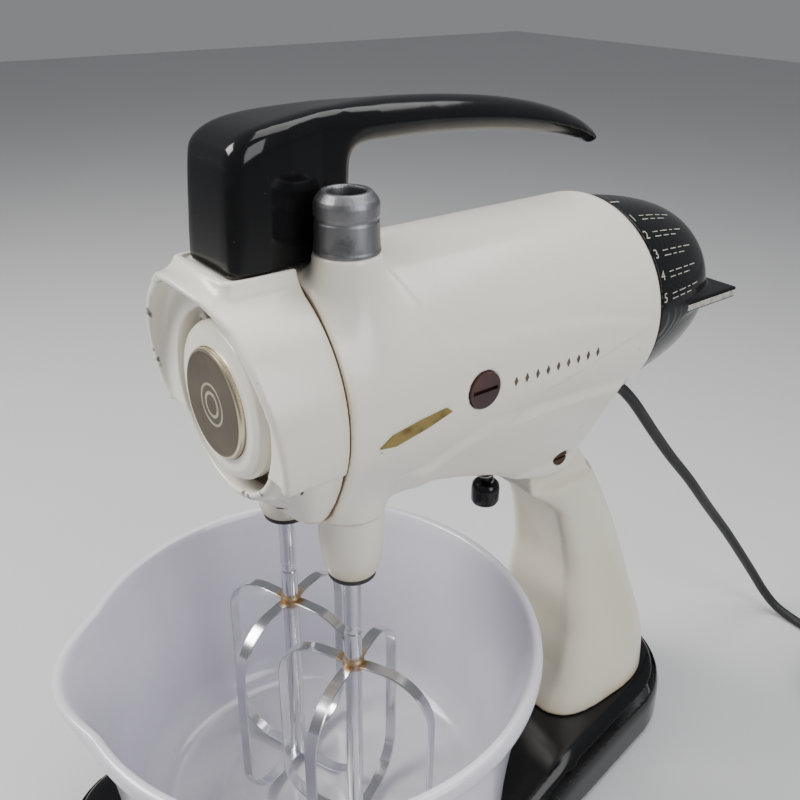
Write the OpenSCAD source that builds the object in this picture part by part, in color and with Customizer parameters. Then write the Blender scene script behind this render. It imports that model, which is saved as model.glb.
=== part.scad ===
/* [Overall] */
// Height of the head's axis above the table
head_h = 312; // [290:1:380]
// Radius of the motor housing
head_r = 57; // [52:0.5:70]
// Wall of the two head castings
head_wall = 3; // [2.5:0.5:4]
// Distance from the beaters back to the end of the motor housing
head_back = 176; // [170:1:215]
// Distance from the beaters forward to the seam of the two castings
seam_front = 18; // [16:1:20]
// Distance from the beaters forward to the top edge of the hood
hood_len = 65; // [60:1:80]
// Distance from the beaters back to the tilt hinge
hinge_y = 141; // [135:1:160]
// Height of the tilt hinge above the table
hinge_z = 232; // [225:1:240]

/* [Base] */
// Height of the front of the base
base_front_h = 28; // [24:1:34]
// Height of the back of the base, under the column
base_back_h = 38; // [34:1:46]
// Wall of the base casting
base_wall = 4; // [3:0.5:6]
// Half of the distance between the two front corners' centres
corner_x = 72; // [66:1:88]
// Corner centres, forward of the beaters
corner_y = 87; // [80:1:100]
// Radius of the front corners
corner_r = 39; // [34:1:46]
// Radius of the rounded back of the base
tail_r = 65; // [60:1:78]
// Centre of the rounded back, behind the beaters
tail_y = 205; // [200:1:225]
// Radius of each rubber foot
foot_r = 11; // [9:0.5:13]
// How far the feet lift the casting off the table
foot_lift = 3; // [2:0.5:5]

/* [Column] */
// Half of the width of the column's tongue between the cheeks
tongue_half = 21; // [17:0.5:24]
// Radius of the tongue's top, round the hinge
tongue_r = 18; // [16:0.5:20]
// Radius of the hinge pin
pin_r = 4; // [3:0.25:6]
// Gap between the tongue and each cheek
cheek_gap = 0.5; // [0.3:0.1:1]
// Thickness of each cheek
cheek_wall = 5.5; // [4:0.5:8]
// Radius of the cheeks' round ends
cheek_r = 16; // [14:0.5:18]

/* [Turntable and bowl] */
// Distance of the bowl's axis forward of the beaters
bowl_front = 5; // [0:1:12]
// Radius of the bowl's rim
bowl_r = 117.5; // [110:0.5:141]
// Height of the bowl
bowl_height = 127.5; // [118:0.5:132]
// Wall of the bowl
bowl_wall = 4.5; // [3.5:0.5:6]
// Radius of the bowl's foot
bowl_foot_r = 62; // [50:1:75]
// How far the spout stands out of the rim
spout_out = 9; // [6:0.5:14]
// Radius of the turntable
turntable_r = 90; // [80:1:105]
// Height of the turntable's seat above the table
seat_z = 42.5; // [42:0.5:44]
// Radius of the turntable's pivot post
post_r = 5; // [4:0.25:7]

/* [Beaters and spindles] */
// Distance between the two beaters' axes
beater_gap = 59; // [56:0.5:64]
// Outer radius of the beater blades
blade_r = 43.6; // [36:0.2:46]
// Width of a blade strip
blade_w = 6; // [4:0.5:7]
// Thickness of a blade strip
blade_t = 1.3; // [1:0.1:2]
// Radius of the beater's shaft
shaft_r = 4.3; // [3.5:0.1:5]
// Outer radius of the spindle tubes
spindle_r = 7; // [6:0.1:8]
// Bottom of the blades above the table
blade_bottom = 51.5; // [50:0.5:56]
// Top of the blades above the table
blade_top = 167.5; // [150:0.5:175]
// Radius of a spindle sleeve at its top
sleeve_top_r = 15.4; // [13:0.1:17]
// Radius of a spindle sleeve at its bottom
sleeve_low_r = 11.6; // [10:0.1:13]
// Length of a spindle sleeve
sleeve_len = 33; // [28:1:40]
// How far the handle pushes the beaters down
eject = 3; // [2:0.5:4]
// Radial clearance of running fits
run_fit = 0.06; // [0.03:0.01:0.1]

/* [Motor] */
// Radius of the armature core
armature_r = 24; // [20:0.5:27]
// Radial gap between armature and stator
air_gap = 0.7; // [0.5:0.1:1.2]
// Outer radius of the stator
stator_r = 50; // [44:0.5:52]
// Radius of the motor shaft
motor_shaft_r = 4; // [3:0.25:5]
// Radius of the worm
worm_r = 7.6; // [6.5:0.1:8.5]
// Distance of the brushes behind the beaters
brush_y = 51.6; // [48:0.2:56]
// Radius of a brush cap
brush_cap_r = 8.5; // [7.5:0.1:9.5]

/* [Front cap, nozzle and handle] */
// Radius of the recessed front cap
cap_r = 34.5; // [30:0.5:36]
// Radius of the round opening that the cap sits in
cup_r = 40; // [38:0.5:42]
// Radius of the medallion
medallion_r = 24; // [20:0.5:28]
// Outer radius of the juicer nozzle at its foot
nozzle_r = 13.2; // [12:0.1:14]
// Radius of the nozzle's bore
nozzle_bore_r = 7.5; // [6:0.1:8]
// Height of the nozzle's foot above the head's axis
nozzle_foot = 64.4; // [63:0.2:68]
// Height of the nozzle above its foot
nozzle_h = 23.4; // [18:0.2:28]
// Half of the width of the handle's post
post_half = 19.5; // [15:0.5:22]
// Half of the width of the handle's grip
grip_half = 12.5; // [10:0.5:15]
// Height of the handle's underside above the head's axis
handle_foot = 60; // [59.5:0.5:63]

/* [Speed dial] */
// Length of the dial
dial_len = 70.5; // [60:0.5:85]
// Radius of the dial's open end
dial_r = 53; // [50:0.5:54]
// Wall of the dial
dial_wall = 3; // [2:0.5:4]
// Half of the length of the dial's bar
bar_half = 49; // [44:0.5:52]
// Thickness of the dial's bar
bar_t = 6; // [4:0.5:8]

/* [Power cord] */
// Diameter of the cord
cord_d = 7; // [6:0.25:8]
// Radius of the coil's middle turn
coil_mid_r = 38; // [35:1:42]

/* [Hidden] */
$fn = 64;

// Colours
ENAMEL = "#e9e2d2";
BLACK = "#141414";
CHROME = "#c9ccd0";
STEEL = "#9a9da1";
BRONZE = "#a8834a";
COPPER = "#b56a35";
LAMINATION = "#77797d";
RUBBER = "#1f1f1f";
MILK_GLASS = "#eeeaf2";
DIECAST = "#7e8186";
BAKELITE = "#2a1512";
GILT = "#8d7434";
CARBON = "#303030";

// Small amount that a cut runs past a face
e = 0.5;
// Everything is laid out from the beaters' plane; this shift centres the object on the origin
tail_end = tail_y + tail_r;
nose_end = max(corner_y + corner_r, bowl_front + bowl_r);
y_mid = (tail_end - nose_end) / 2;

rim_z = seat_z + bowl_height;
beater_x = beater_gap / 2;
inner_r = head_r - head_wall;
cheek_in = tongue_half + cheek_gap;
cheek_out = cheek_in + cheek_wall;
// Underside of the gearcase, measured from the head's axis like all head heights
chin_low = -54;
chin_half = beater_x + sleeve_top_r + 1.5;
chin_back = 32;
// Front plane of the round opening, and the web behind it
cup_y = -44;
web_y = -33;
web_t = 3;
cap_y = -46;
gear_plate_y = 38;
gear_plate_t = 3;
rear_bracket_y = 142;
// The handle turns on this pin, in the motor housing's lugs
handle_pin_y = 8;
handle_pin_h = 50;
handle_pin_r = 2.5;
ejector_h = 14;
ejector_t = 3;
gear_t = 10;
gear_r = beater_x - worm_r - 0.4;
gear_teeth = 36;
spindle_top = 10.8;
blade_angles = [20, 26.7];
bore_r = shaft_r + 0.05;
sleeve_bore_r = spindle_r + run_fit;
sleeve_end = chin_low - sleeve_len;
seal_t = 2.4;
button_y = 112;
button_web_h = hinge_z - head_h + 6;
button_web_t = 6;
button_stem_r = 3;
button_travel = 4;
// Cord exit under the back of the housing
exit_x = 6;
exit_h = -61;
exit_y = head_back - 4;
grommet_len = 21;

// Puts the layout, which starts from the beaters' plane, onto the part's origin
module placed() translate([0, -y_mid, 0]) children();
module in_head() placed() translate([0, 0, head_h]) children();

// Extrudes an X-Z outline from y0 to y1
module along_y(y0, y1) translate([0, y1, 0]) rotate([90, 0, 0]) linear_extrude(height = y1 - y0) children();
// Extrudes a Y-Z outline from x0 to x1
module along_x(x0, x1) translate([x0, 0, 0]) rotate([90, 0, 90]) linear_extrude(height = x1 - x0) children();
// A cone or cylinder along Y
module round_y(y0, y1, r0, r1) translate([0, y0, 0]) rotate([-90, 0, 0]) cylinder(h = y1 - y0, r1 = r0, r2 = r1);
// A cylinder along X
module round_x(x0, x1, r) translate([x0, 0, 0]) rotate([0, 90, 0]) cylinder(h = x1 - x0, r = r);
module both_sides() for (s = [-1, 1]) scale_x(s) children();
module scale_x(s) if (s > 0) children(); else mirror([1, 0, 0]) children();
module ring(r_out, r_in, h) difference() { cylinder(h = h, r = r_out); translate([0, 0, -e]) cylinder(h = h + 2 * e, r = r_in); }

function flat(list) = [for (part = list) for (p = part) p];
function arc(cx, cy, r, a0, a1, n) = [for (i = [0:n]) let (a = a0 + (a1 - a0) * i / n) [cx + r * cos(a), cy + r * sin(a)]];
function unit(v) = v / norm(v);

// Tube swept along a list of points, with its rings kept square to the route
function ring_x(t) = unit(cross(abs(t.z) > 0.9 ? [0, 1, 0] : [0, 0, 1], t));
function tangent(p, i) = unit(p[min(i + 1, len(p) - 1)] - p[max(i - 1, 0)]);
module swept_tube(route, r, sides) {
    n = len(route);
    rings = [for (i = [0:n - 1]) let (t = tangent(route, i), u = ring_x(t), v = cross(t, u))
        for (k = [0:sides - 1]) let (a = 360 * k / sides) route[i] + r * (cos(a) * u + sin(a) * v)];
    walls = [for (i = [0:n - 2]) for (k = [0:sides - 1]) let (a = i * sides, b = (k + 1) % sides)
        each [[a + k, a + sides + k, a + sides + b], [a + k, a + sides + b, a + b]]];
    ends = [[for (k = [0:sides - 1]) k], [for (k = [sides - 1:-1:0]) (n - 1) * sides + k]];
    polyhedron(points = rings, faces = concat(walls, ends), convexity = 4);
}

// Helical spring that stands on z = 0
module spring(r, wire_r, turns, length) {
    steps = turns * 8;
    swept_tube([for (i = [0:steps]) let (a = 360 * i / 8) [r * cos(a), r * sin(a), wire_r + (length - 2 * wire_r) * i / steps]], wire_r, 6);
}

// ---------------------------------------------------------------- base

// Outer tangent point of a circle towards a second one, on the +X side
function side_normal(p, r0, q, r1) = let (d = unit(q - p), a = -acos((r0 - r1) / norm(q - p)))
    [d.x * cos(a) - d.y * sin(a), d.x * sin(a) + d.y * cos(a)];

module base_plan(inset) {
    front = [corner_x, -corner_y];
    back = [0, tail_y];
    n = side_normal(front, corner_r, back, tail_r);
    f = front + (corner_r - inset) * n;
    b = back + (tail_r - inset) * n;
    for (s = [-1, 1]) translate([s * corner_x, -corner_y]) circle(r = corner_r - inset);
    translate(back) circle(r = tail_r - inset);
    polygon([f, b, [-b.x, b.y], [-f.x, f.y], [-corner_x, -corner_y - corner_r + inset], [corner_x, -corner_y - corner_r + inset]]);
}

// Side outline of the base between its underside and its top, lowered by drop
module base_profile(low, drop) polygon([
    [-nose_end - 20, low], [tail_end + 20, low], [tail_end + 20, base_back_h - drop],
    [135, base_back_h - drop], [75, base_front_h - drop], [-nose_end - 20, base_front_h - drop]
]);

foot_places = [for (s = [-1, 1]) each [[s * (corner_x + 8), -corner_y - 8], [s * 34, tail_y + 22]]];
pedestal_bolt_places = [[0, 172], [0, 222]];
plate_top = foot_lift + 2;
boss_screw_r = 2;

module base_casting() color(BLACK) placed() difference() {
    union() {
        difference() {
            intersection() {
                translate([0, 0, foot_lift]) linear_extrude(height = 60) base_plan(0);
                along_x(-200, 200) base_profile(foot_lift, 0);
            }
            intersection() {
                translate([0, 0, -1]) linear_extrude(height = 60) base_plan(base_wall);
                along_x(-200, 200) base_profile(-1, base_wall);
            }
        }
        for (p = foot_places) translate([p.x, p.y, plate_top])
            cylinder(h = (p.y > 100 ? base_back_h : base_front_h) - base_wall - plate_top + 1, r = 6);
        translate([0, -bowl_front, plate_top]) cylinder(h = base_front_h - plate_top, r = post_r + 5);
        for (p = pedestal_bolt_places) translate([p.x, p.y, plate_top + 12]) cylinder(h = base_back_h - base_wall - plate_top - 11, r = 9);
    }
    for (p = foot_places) translate([p.x, p.y, 0]) cylinder(h = 19, r = boss_screw_r);
    translate([0, -bowl_front, -1]) cylinder(h = base_front_h + 2, r = post_r);
    for (p = pedestal_bolt_places) translate([p.x, p.y, -1]) cylinder(h = base_back_h + 2, r = 3);
}

module bottom_plate() color(STEEL) placed() difference() {
    translate([0, 0, plate_top - 1.5]) linear_extrude(height = 1.5) base_plan(base_wall + 0.5);
    for (p = foot_places) translate([p.x, p.y, 0]) cylinder(h = 19, r = boss_screw_r);
}

module rubber_feet() color(RUBBER) placed() for (p = foot_places) translate([p.x, p.y, 0]) difference() {
    cylinder(h = plate_top - 1.5, r = foot_r);
    translate([0, 0, -1]) cylinder(h = 10, r = boss_screw_r);
    translate([0, 0, -1]) cylinder(h = 2.4, r = 5);
}

module plate_screws() color(STEEL) placed() for (p = foot_places) translate([p.x, p.y, 0]) {
    cylinder(h = 18, r = boss_screw_r);
    translate([0, 0, 0.6]) cylinder(h = 0.8, r = 4);
}

module turntable_pivot() color(STEEL) placed() translate([0, -bowl_front, plate_top]) {
    cylinder(h = seat_z - 4.5 - plate_top, r = post_r);
    translate([0, 0, base_front_h - plate_top]) cylinder(h = 2.5, r = post_r + 4);
}

glide_r = 70;
module turntable_glides() color("#d8d2c0") placed() translate([0, -bowl_front, base_front_h])
    for (a = [90, 210, 330]) rotate(a) translate([glide_r, 0, 0]) cylinder(h = 4, r = 6);

// ---------------------------------------------------------------- column

// Column sections from the base up: height, centre behind the beaters, half width, half depth
column_top = hinge_z - 24;
column_sections = [
    [base_back_h, 197, 49, 54], [base_back_h + 6, 199, 48.4, 52], [55, 202, 46.5, 49], [72, 203, 43, 44.5],
    [92, 201.5, 38.5, 38.5], [115, 196, 34.5, 34.5], [140, 191.5, 31, 29], [165, 183, 28.6, 26],
    [188, 173.5, cheek_out, 23.5], [column_top - 9, 164.5, cheek_out, 26], [column_top, 156.5, cheek_out, 29]
];
column_sides = 40;
function column_ring(s) = [for (k = [0:column_sides - 1]) let (a = 360 * k / column_sides, c = cos(a), d = sin(a))
    [s[2] * sign(c) * pow(abs(c), 0.7), s[1] + s[3] * sign(d) * pow(abs(d), 0.7), s[0]]];

module column_loft() {
    m = column_sides;
    n = len(column_sections);
    walls = [for (i = [0:n - 2]) for (k = [0:m - 1]) let (a = i * m, b = (k + 1) % m) [a + b, a + k, a + m + k, a + m + b]];
    ends = [[for (k = [0:m - 1]) k], [for (k = [m - 1:-1:0]) (n - 1) * m + k]];
    polyhedron(points = flat([for (s = column_sections) column_ring(s)]), faces = concat(walls, ends), convexity = 6);
}

module pedestal() color(ENAMEL) placed() difference() {
    union() {
        column_loft();
        // tongue between the cheeks
        along_x(-tongue_half, tongue_half) polygon(concat(
            arc(hinge_y, hinge_z, tongue_r, 10, 200, 24),
            [[hinge_y - 13, hinge_z - 24], [hinge_y + 16, hinge_z - 44], [hinge_y + 40, hinge_z - 44], [hinge_y + 30, hinge_z - 16]]));
    }
    translate([0, hinge_y, hinge_z]) round_x(-40, 40, pin_r + run_fit);
    for (p = pedestal_bolt_places) translate([p.x, p.y, 0]) cylinder(h = base_back_h + 24, r = 3);
}

module pedestal_bolts() color(STEEL) placed() for (p = pedestal_bolt_places) translate([p.x, p.y, plate_top + 8]) {
    cylinder(h = 4, r = 5.5, $fn = 6);
    cylinder(h = base_back_h + 20 - plate_top - 8, r = 3);
}

module hinge_pin() color(STEEL) placed() translate([0, hinge_y, hinge_z]) round_x(-cheek_out + 1.5, cheek_out - 1.5, pin_r);

// ---------------------------------------------------------------- turntable and bowl

module turntable() color(BLACK) placed() translate([0, -bowl_front, 0]) rotate_extrude() polygon([
    [post_r + run_fit, base_front_h + 3], [16, base_front_h + 3], [18, base_front_h + 4.3], [turntable_r, base_front_h + 4.3],
    [turntable_r + 2, base_front_h + 7], [turntable_r, seat_z - 3], [bowl_foot_r + 5, seat_z - 3], [bowl_foot_r + 4, seat_z + 2],
    [bowl_foot_r + 1, seat_z + 2], [bowl_foot_r + 0.6, seat_z], [20, seat_z], [18, seat_z - 2], [post_r + run_fit, seat_z - 2]
]);

// Half section of the bowl's outer wall, from its foot up to under the rim band
bowl_mid_r = bowl_r - 14;
bowl_curve = 24;
function bowl_outside(inset) = concat(
    arc(bowl_mid_r - bowl_curve, seat_z + 3 + bowl_curve, bowl_curve - inset, -90, -4, 8),
    [[bowl_mid_r + 0.6 - inset, seat_z + 45], [bowl_mid_r + 2.8 - inset, seat_z + 75], [bowl_mid_r + 6 - inset, seat_z + bowl_height - 22]]);

module bowl_body() rotate_extrude($fn = 96) polygon(concat(
    [[0, seat_z + bowl_wall], [0, seat_z + 1.5], [bowl_foot_r - 6, seat_z + 1.5], [bowl_foot_r - 5, seat_z], [bowl_foot_r, seat_z], [bowl_foot_r + 0.5, seat_z + 3]],
    bowl_outside(0),
    [[bowl_r - 4, rim_z - 11], [bowl_r - 1, rim_z - 9.5], [bowl_r, rim_z - 6], [bowl_r - 0.6, rim_z - 2], [bowl_r - 2.5, rim_z], [bowl_r - 5, rim_z]],
    [[bowl_r - 6.8, rim_z - 2]],
    [for (i = [len(bowl_outside(bowl_wall)) - 1:-1:0]) bowl_outside(bowl_wall)[i]],
    [[bowl_foot_r - 7, seat_z + bowl_wall]]
));

// The spout stands out of the rim in two steps, each cut back into the bowl's wall
spout_angle = 248.7;
spout_r = 20;
spout_c = bowl_r + spout_out - spout_r;
module spout_step(low, high, r, wall_r) difference() {
    rotate(spout_angle) translate([spout_c + spout_r - r, 0, low]) cylinder(h = high - low, r = r);
    translate([0, 0, low - e]) cylinder(h = high - low + 2 * e, r = wall_r);
}
module mixing_bowl() color(MILK_GLASS) placed() translate([0, -bowl_front, 0]) difference() {
    union() {
        bowl_body();
        spout_step(rim_z - 10, rim_z, spout_r, bowl_r - 5.2);
        rotate(spout_angle) translate([-4, 0, 0]) rotate(-spout_angle) spout_step(rim_z - 19, rim_z - 9, spout_r - 6, bowl_r - 8.5);
    }
    rotate(spout_angle) translate([spout_c, 0, rim_z - 8]) cylinder(h = 9, r = spout_r - 4.3);
    rotate(spout_angle) translate([spout_c - 1, 0, rim_z - 15]) cylinder(h = 9, r = spout_r - 9.5);
}

// ---------------------------------------------------------------- head castings

neck_side = concat(
    [[chin_back - 6, -40], [chin_back - 6, -48], [41, -51.5], [64, -60.5], [88, -71.5], [109, -84]],
    arc(hinge_y, hinge_z - head_h, cheek_r, 222, 360, 12),
    [[hinge_y + cheek_r + 1, -50], [hinge_y + cheek_r + 1, -30]]);
neck_front = [[-cheek_out, -110], [cheek_out, -110], [cheek_out, -78], [head_r - 3, -14], [head_r - 8, 0],
    [-head_r + 8, 0], [-head_r + 3, -14], [-cheek_out, -78]];
chin_front = concat(
    [[-head_r + 2.5, -14], [-chin_half - 2, -34], [-chin_half + 0.5, chin_low + 6], [-chin_half + 6, chin_low]],
    [[chin_half - 6, chin_low], [chin_half - 0.5, chin_low + 6], [chin_half + 2, -34], [head_r - 2.5, -14]]);

module housing_body() {
    round_y(-seam_front, head_back - 8, head_r, head_r);
    round_y(head_back - 8, head_back, head_r, dial_r + 0.5);
    along_y(-seam_front, chin_back) polygon(chin_front);
    intersection() {
        along_x(-head_r, head_r) polygon(neck_side);
        along_y(chin_back - 6, hinge_y + cheek_r + 1) polygon(neck_front);
    }
    translate([beater_x, 0, 30]) cylinder(h = nozzle_foot - 30, r1 = nozzle_r + 5, r2 = nozzle_r + 0.3);
    translate([exit_x, 0, exit_h]) round_y(hinge_y + cheek_r - 2, exit_y, 8, 8);
}

module housing_hollow() {
    round_y(-seam_front - e, gear_plate_y + gear_plate_t + 0.2, inner_r, inner_r);
    round_y(gear_plate_y + gear_plate_t, head_back - 12, inner_r, inner_r);
    round_y(head_back - 12.1, head_back + e, inner_r - 5, inner_r - 5);
    along_y(-seam_front - e, chin_back - head_wall) intersection() {
        polygon([for (p = chin_front) [p.x * (1 - head_wall / chin_half), max(p.y, chin_low + head_wall + 2)]]);
        translate([-60, chin_low + head_wall + 2]) square([120, 100]);
    }
    // space between the cheeks, open underneath and behind
    along_x(-cheek_in, cheek_in) polygon([[64, -120], [64, -59.5], [80, -59.5], [hinge_y + cheek_r - 6, -59.5],
        [hinge_y + cheek_r + 20, -59.5], [hinge_y + cheek_r + 20, -120]]);
}

module motor_housing() color(ENAMEL) in_head() difference() {
    union() {
        difference() {
            union() { difference() { housing_body(); housing_hollow(); } cord_boss(); }
            // slot under the handle's post
            translate([-7.5, 0, 40]) cube([15, 14.5, 30]);
        }
        // lugs for the handle's pin
        both_sides() translate([7.5, 2, handle_pin_h - 6]) cube([5.5, 12, inner_r - handle_pin_h + 6]);
        // web for the tilt button
        translate([-cheek_in - 1, button_y - 9, button_web_h]) cube([2 * cheek_in + 2, 18, button_web_t]);
        translate([ejector_spring_x, 0, ejector_spring_top]) cylinder(h = 5, r = 3.6);
        // ribs that hold the stator
        difference() {
            for (a = [45:90:315]) rotate([0, a, 0]) translate([stator_r - 2, core_y0, -4]) cube([inner_r - stator_r + 3, core_y1 - core_y0, 8]);
            round_y(core_y0 - 1, core_y1 + 1, stator_r, stator_r);
        }
    }
    for (s = [-1, 1]) translate([s * beater_x, 0, chin_low - e]) cylinder(h = 8, r = spindle_r + 2);
    translate([beater_x, 0, 20]) cylinder(h = 60, r = nozzle_bore_r + 1);
    translate([0, brush_y, 0]) round_x(-80, 80, brush_cap_r);
    translate([0, hinge_y, hinge_z - head_h]) round_x(-40, 40, pin_r);
    both_sides() translate([0, hinge_y, hinge_z - head_h]) round_x(cheek_out - 1.5, 60, screw_head_r);
    translate([0, handle_pin_y, handle_pin_h]) round_x(-20, 20, handle_pin_r);
    translate([0, button_y, button_web_h - e]) cylinder(h = 20, r = button_stem_r + run_fit);
    translate([exit_x, 0, exit_h]) round_y(100, 200, cord_d / 2 + 0.5, cord_d / 2 + 0.5);
}

module cord_boss() difference() {
    translate([exit_x, 0, exit_h]) round_y(hinge_y + cheek_r + 4, exit_y, 8, 8);
    round_y(100, head_back + 1, inner_r, inner_r);
}

// The front casting: hood above, round cup below, gear space behind the web
// Cover screws stand on posts of the gear plate, clear of the wheels; x and height of each
cover_screws_at = [[16, 24], [-16, 24], [12, -25], [-12, -25]];
cover_post_r = 4;
module at_cover_screws() for (p = cover_screws_at) translate([p.x, 0, p.y]) children();
step_h = -19;
module gearcase_cover() color(ENAMEL) in_head() difference() {
    union() {
        // hood
        intersection() {
            round_y(-hood_len - 6, -seam_front, head_r, head_r);
            along_x(-60, 60) polygon([[-seam_front, step_h], [-46, step_h], [-48, -8], [-53, 26], [-57, 50],
                [-hood_len, head_r + 2], [-seam_front, head_r + 2]]);
        }
        // cup and chin
        round_y(cup_y, -seam_front, cup_r + 2.4, head_r - 1.5);
        intersection() {
            along_y(-40, -seam_front) polygon(chin_front);
            along_x(-60, 60) polygon([[-seam_front, chin_low], [-34, chin_low], [-40, -46], [-40, 0], [-seam_front, 0]]);
        }
        // raised collar round the handle's post
        along_y(-post_front - 3.4, -seam_front) polygon([[-post_half - 3, 40], [post_half + 3, 40],
            [post_half + 2.2, handle_foot + 0.5], [-post_half - 2.2, handle_foot + 0.5]]);
    }
    // mouth of the hood, then the round seat of the cap
    round_y(-hood_len - 10, cup_y, head_r - 4, head_r - 4);
    round_y(cup_y - e, web_y - web_t, cup_r, cup_r);
    // gear space, round the screws' bosses
    difference() {
        union() {
            round_y(web_y, -seam_front + e, inner_r - 3.5, inner_r);
            along_y(web_y, -seam_front + e) polygon([[-chin_half + 6, chin_low + 6], [chin_half - 6, chin_low + 6],
                [chin_half - 4, -20], [-chin_half + 4, -20]]);
        }
        at_cover_screws() round_y(-50, -seam_front, cover_post_r, cover_post_r);
    }
    at_cover_screws() round_y(-50, 0, 2, 2);
    // pocket for the post
    translate([-post_half - 0.5, -post_front - 0.5, head_r - 0.2]) cube([2 * post_half + 1, 60, 10]);
    // air slots in the web
    for (a = [200:20:340]) rotate([0, -a, 0]) translate([30, web_y - 10, -2]) cube([8, 20, 4]);
    round_y(-60, 0, 5, 5);
}

module cover_screws() color(STEEL) in_head() at_cover_screws() {
    round_y(web_y - web_t - 1.2, web_y - web_t, 3.6, 3.6);
    round_y(web_y - web_t, -seam_front, 2, 2);
    round_y(-seam_front, -4, 1.6, 1.6);
}

module front_cap() color(ENAMEL) in_head() difference() {
    union() {
        round_y(cap_y, cap_y + 4, cap_r - 2.5, cap_r);
        round_y(cap_y + 4, web_y - web_t - 1.5, cap_r, cap_r);
        round_y(web_y - web_t - 2, web_y + 3, 5, 5);
    }
    round_y(cap_y - e, cap_y + 1.2, medallion_r + 0.2, medallion_r + 0.2);
    difference() {
        round_y(cap_y + 4, web_y - web_t, cap_r - 3, cap_r - 3);
        round_y(cap_y, 0, 8, 8);
    }
}

module medallion() color(GILT) in_head() {
    round_y(cap_y - 2.4, cap_y - 1.4, medallion_r - 1.4, medallion_r);
    round_y(cap_y - 1.4, cap_y + 1.2, medallion_r, medallion_r);
}

// Plain ribbon-shaped plate that follows the housing's side
module nameplate() color(GILT) in_head() both_sides() intersection() {
    difference() { round_y(-6, 34, head_r + 0.8, head_r + 0.8); round_y(-7, 35, head_r, head_r); }
    along_x(20, 70) polygon([[-4, -10], [4, -11.5], [20, -8], [33, -4], [30, -1.5], [16, -3], [2, -5.5]]);
}

mark_count = 9;
mark_pitch = 6.7;
module trim_marks() color("#5b3c22") in_head() both_sides() for (i = [0:mark_count - 1]) translate([0, 70 + i * mark_pitch, -1]) intersection() {
    difference() { round_y(-2, 2, head_r + 0.4, head_r + 0.4); round_y(-3, 3, head_r + 0.03, head_r + 0.03); }
    along_x(40, 70) polygon([[-1, 0], [0, -2.2], [1, 0], [0, 2.2]]);
}

screw_head_r = 4.6;
module hinge_screws() color(STEEL) in_head() both_sides() translate([0, hinge_y, hinge_z - head_h]) difference() {
    round_x(cheek_out - 1.5, cheek_out + 0.3, screw_head_r);
    translate([cheek_out - 0.7, -5, -0.6]) cube([2, 10, 1.2]);
}

module spindle_sleeves() color(ENAMEL) in_head() difference() {
    for (s = [-1, 1]) translate([s * beater_x, 0, 0])
        rotate_extrude() polygon([[sleeve_bore_r, chin_low + 3], [spindle_r + 2, chin_low + 3], [spindle_r + 2, chin_low],
            [sleeve_top_r, chin_low], [sleeve_top_r - 0.2, chin_low - 10], [sleeve_top_r - 1.4, chin_low - 20],
            [sleeve_low_r, sleeve_end], [sleeve_bore_r, sleeve_end]]);
    // round of the barrel's belly between the sleeves
    intersection() {
        round_y(-20, 20, head_r + 0.05, head_r + 0.05);
        translate([-20, -20, chin_low - 5]) cube([40, 40, 5]);
    }
}

module sleeve_seals() color(RUBBER) in_head() for (s = [-1, 1]) translate([s * beater_x, 0, sleeve_end - seal_t])
    ring(sleeve_low_r - 0.4, spindle_r + 0.1, seal_t);

module juicer_nozzle() color(DIECAST) in_head() translate([beater_x, 0, nozzle_foot]) rotate_extrude() polygon([
    [nozzle_bore_r, 0], [nozzle_r, 0], [nozzle_r - 1.6, nozzle_h - 9], [nozzle_r - 1, nozzle_h - 8], [nozzle_r - 1.4, nozzle_h - 4.5],
    [nozzle_r - 3.6, nozzle_h - 1.2], [nozzle_r - 4.4, nozzle_h], [nozzle_bore_r + 0.6, nozzle_h], [nozzle_bore_r, nozzle_h - 1]]);

module brush_caps() color(BAKELITE) in_head() both_sides() translate([0, brush_y, 0]) difference() {
    round_x(head_r - 7, head_r + 0.4, brush_cap_r);
    translate([head_r - 1.2, -7, -0.9]) cube([3, 14, 1.8]);
}

module cord_grommet() color(RUBBER) in_head() translate([exit_x, 0, exit_h]) difference() {
    union() {
        round_y(exit_y - 8, exit_y, cord_d / 2 + 0.5, cord_d / 2 + 0.5);
        round_y(exit_y, exit_y + grommet_len, cord_d / 2 + 2.6, cord_d / 2 + 0.9);
    }
    round_y(exit_y - 9, exit_y + grommet_len + 1, cord_d / 2, cord_d / 2);
}

// ---------------------------------------------------------------- motor

module gear_plate() color(STEEL) in_head() difference() {
    union() {
        round_y(gear_plate_y, gear_plate_y + gear_plate_t, inner_r, inner_r);
        at_cover_screws() round_y(-seam_front, gear_plate_y, cover_post_r, cover_post_r);
    }
    at_cover_screws() round_y(-seam_front - e, 0, 1.6, 1.6);
    round_y(0, 100, 9, 9);
}

module front_bearing() color(BRONZE) in_head() difference() {
    round_y(gear_plate_y - 4, gear_plate_y + gear_plate_t, 9, 9);
    round_y(0, 100, motor_shaft_r + run_fit, motor_shaft_r + run_fit);
}

module rear_bracket() color(STEEL) in_head() difference() {
    round_y(rear_bracket_y, rear_bracket_y + 3, inner_r, inner_r);
    round_y(0, 200, 9, 9);
    for (a = [0:60:300]) rotate([0, a, 0]) translate([30, 0, 0]) round_y(100, 200, 9, 9);
}

module rear_bearing() color(BRONZE) in_head() difference() {
    round_y(rear_bracket_y, rear_bracket_y + 6, 9, 9);
    round_y(0, 200, motor_shaft_r + run_fit, motor_shaft_r + run_fit);
}

core_y0 = 72;
core_y1 = 116;
module stator_core() color(LAMINATION) in_head() difference() {
    round_y(core_y0, core_y1, stator_r, stator_r);
    round_y(core_y0 - 1, core_y1 + 1, armature_r + air_gap, armature_r + air_gap);
    both_sides() translate([stator_r - 18, core_y0 - 1, -16]) cube([9, core_y1 - core_y0 + 2, 32]);
}

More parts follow.
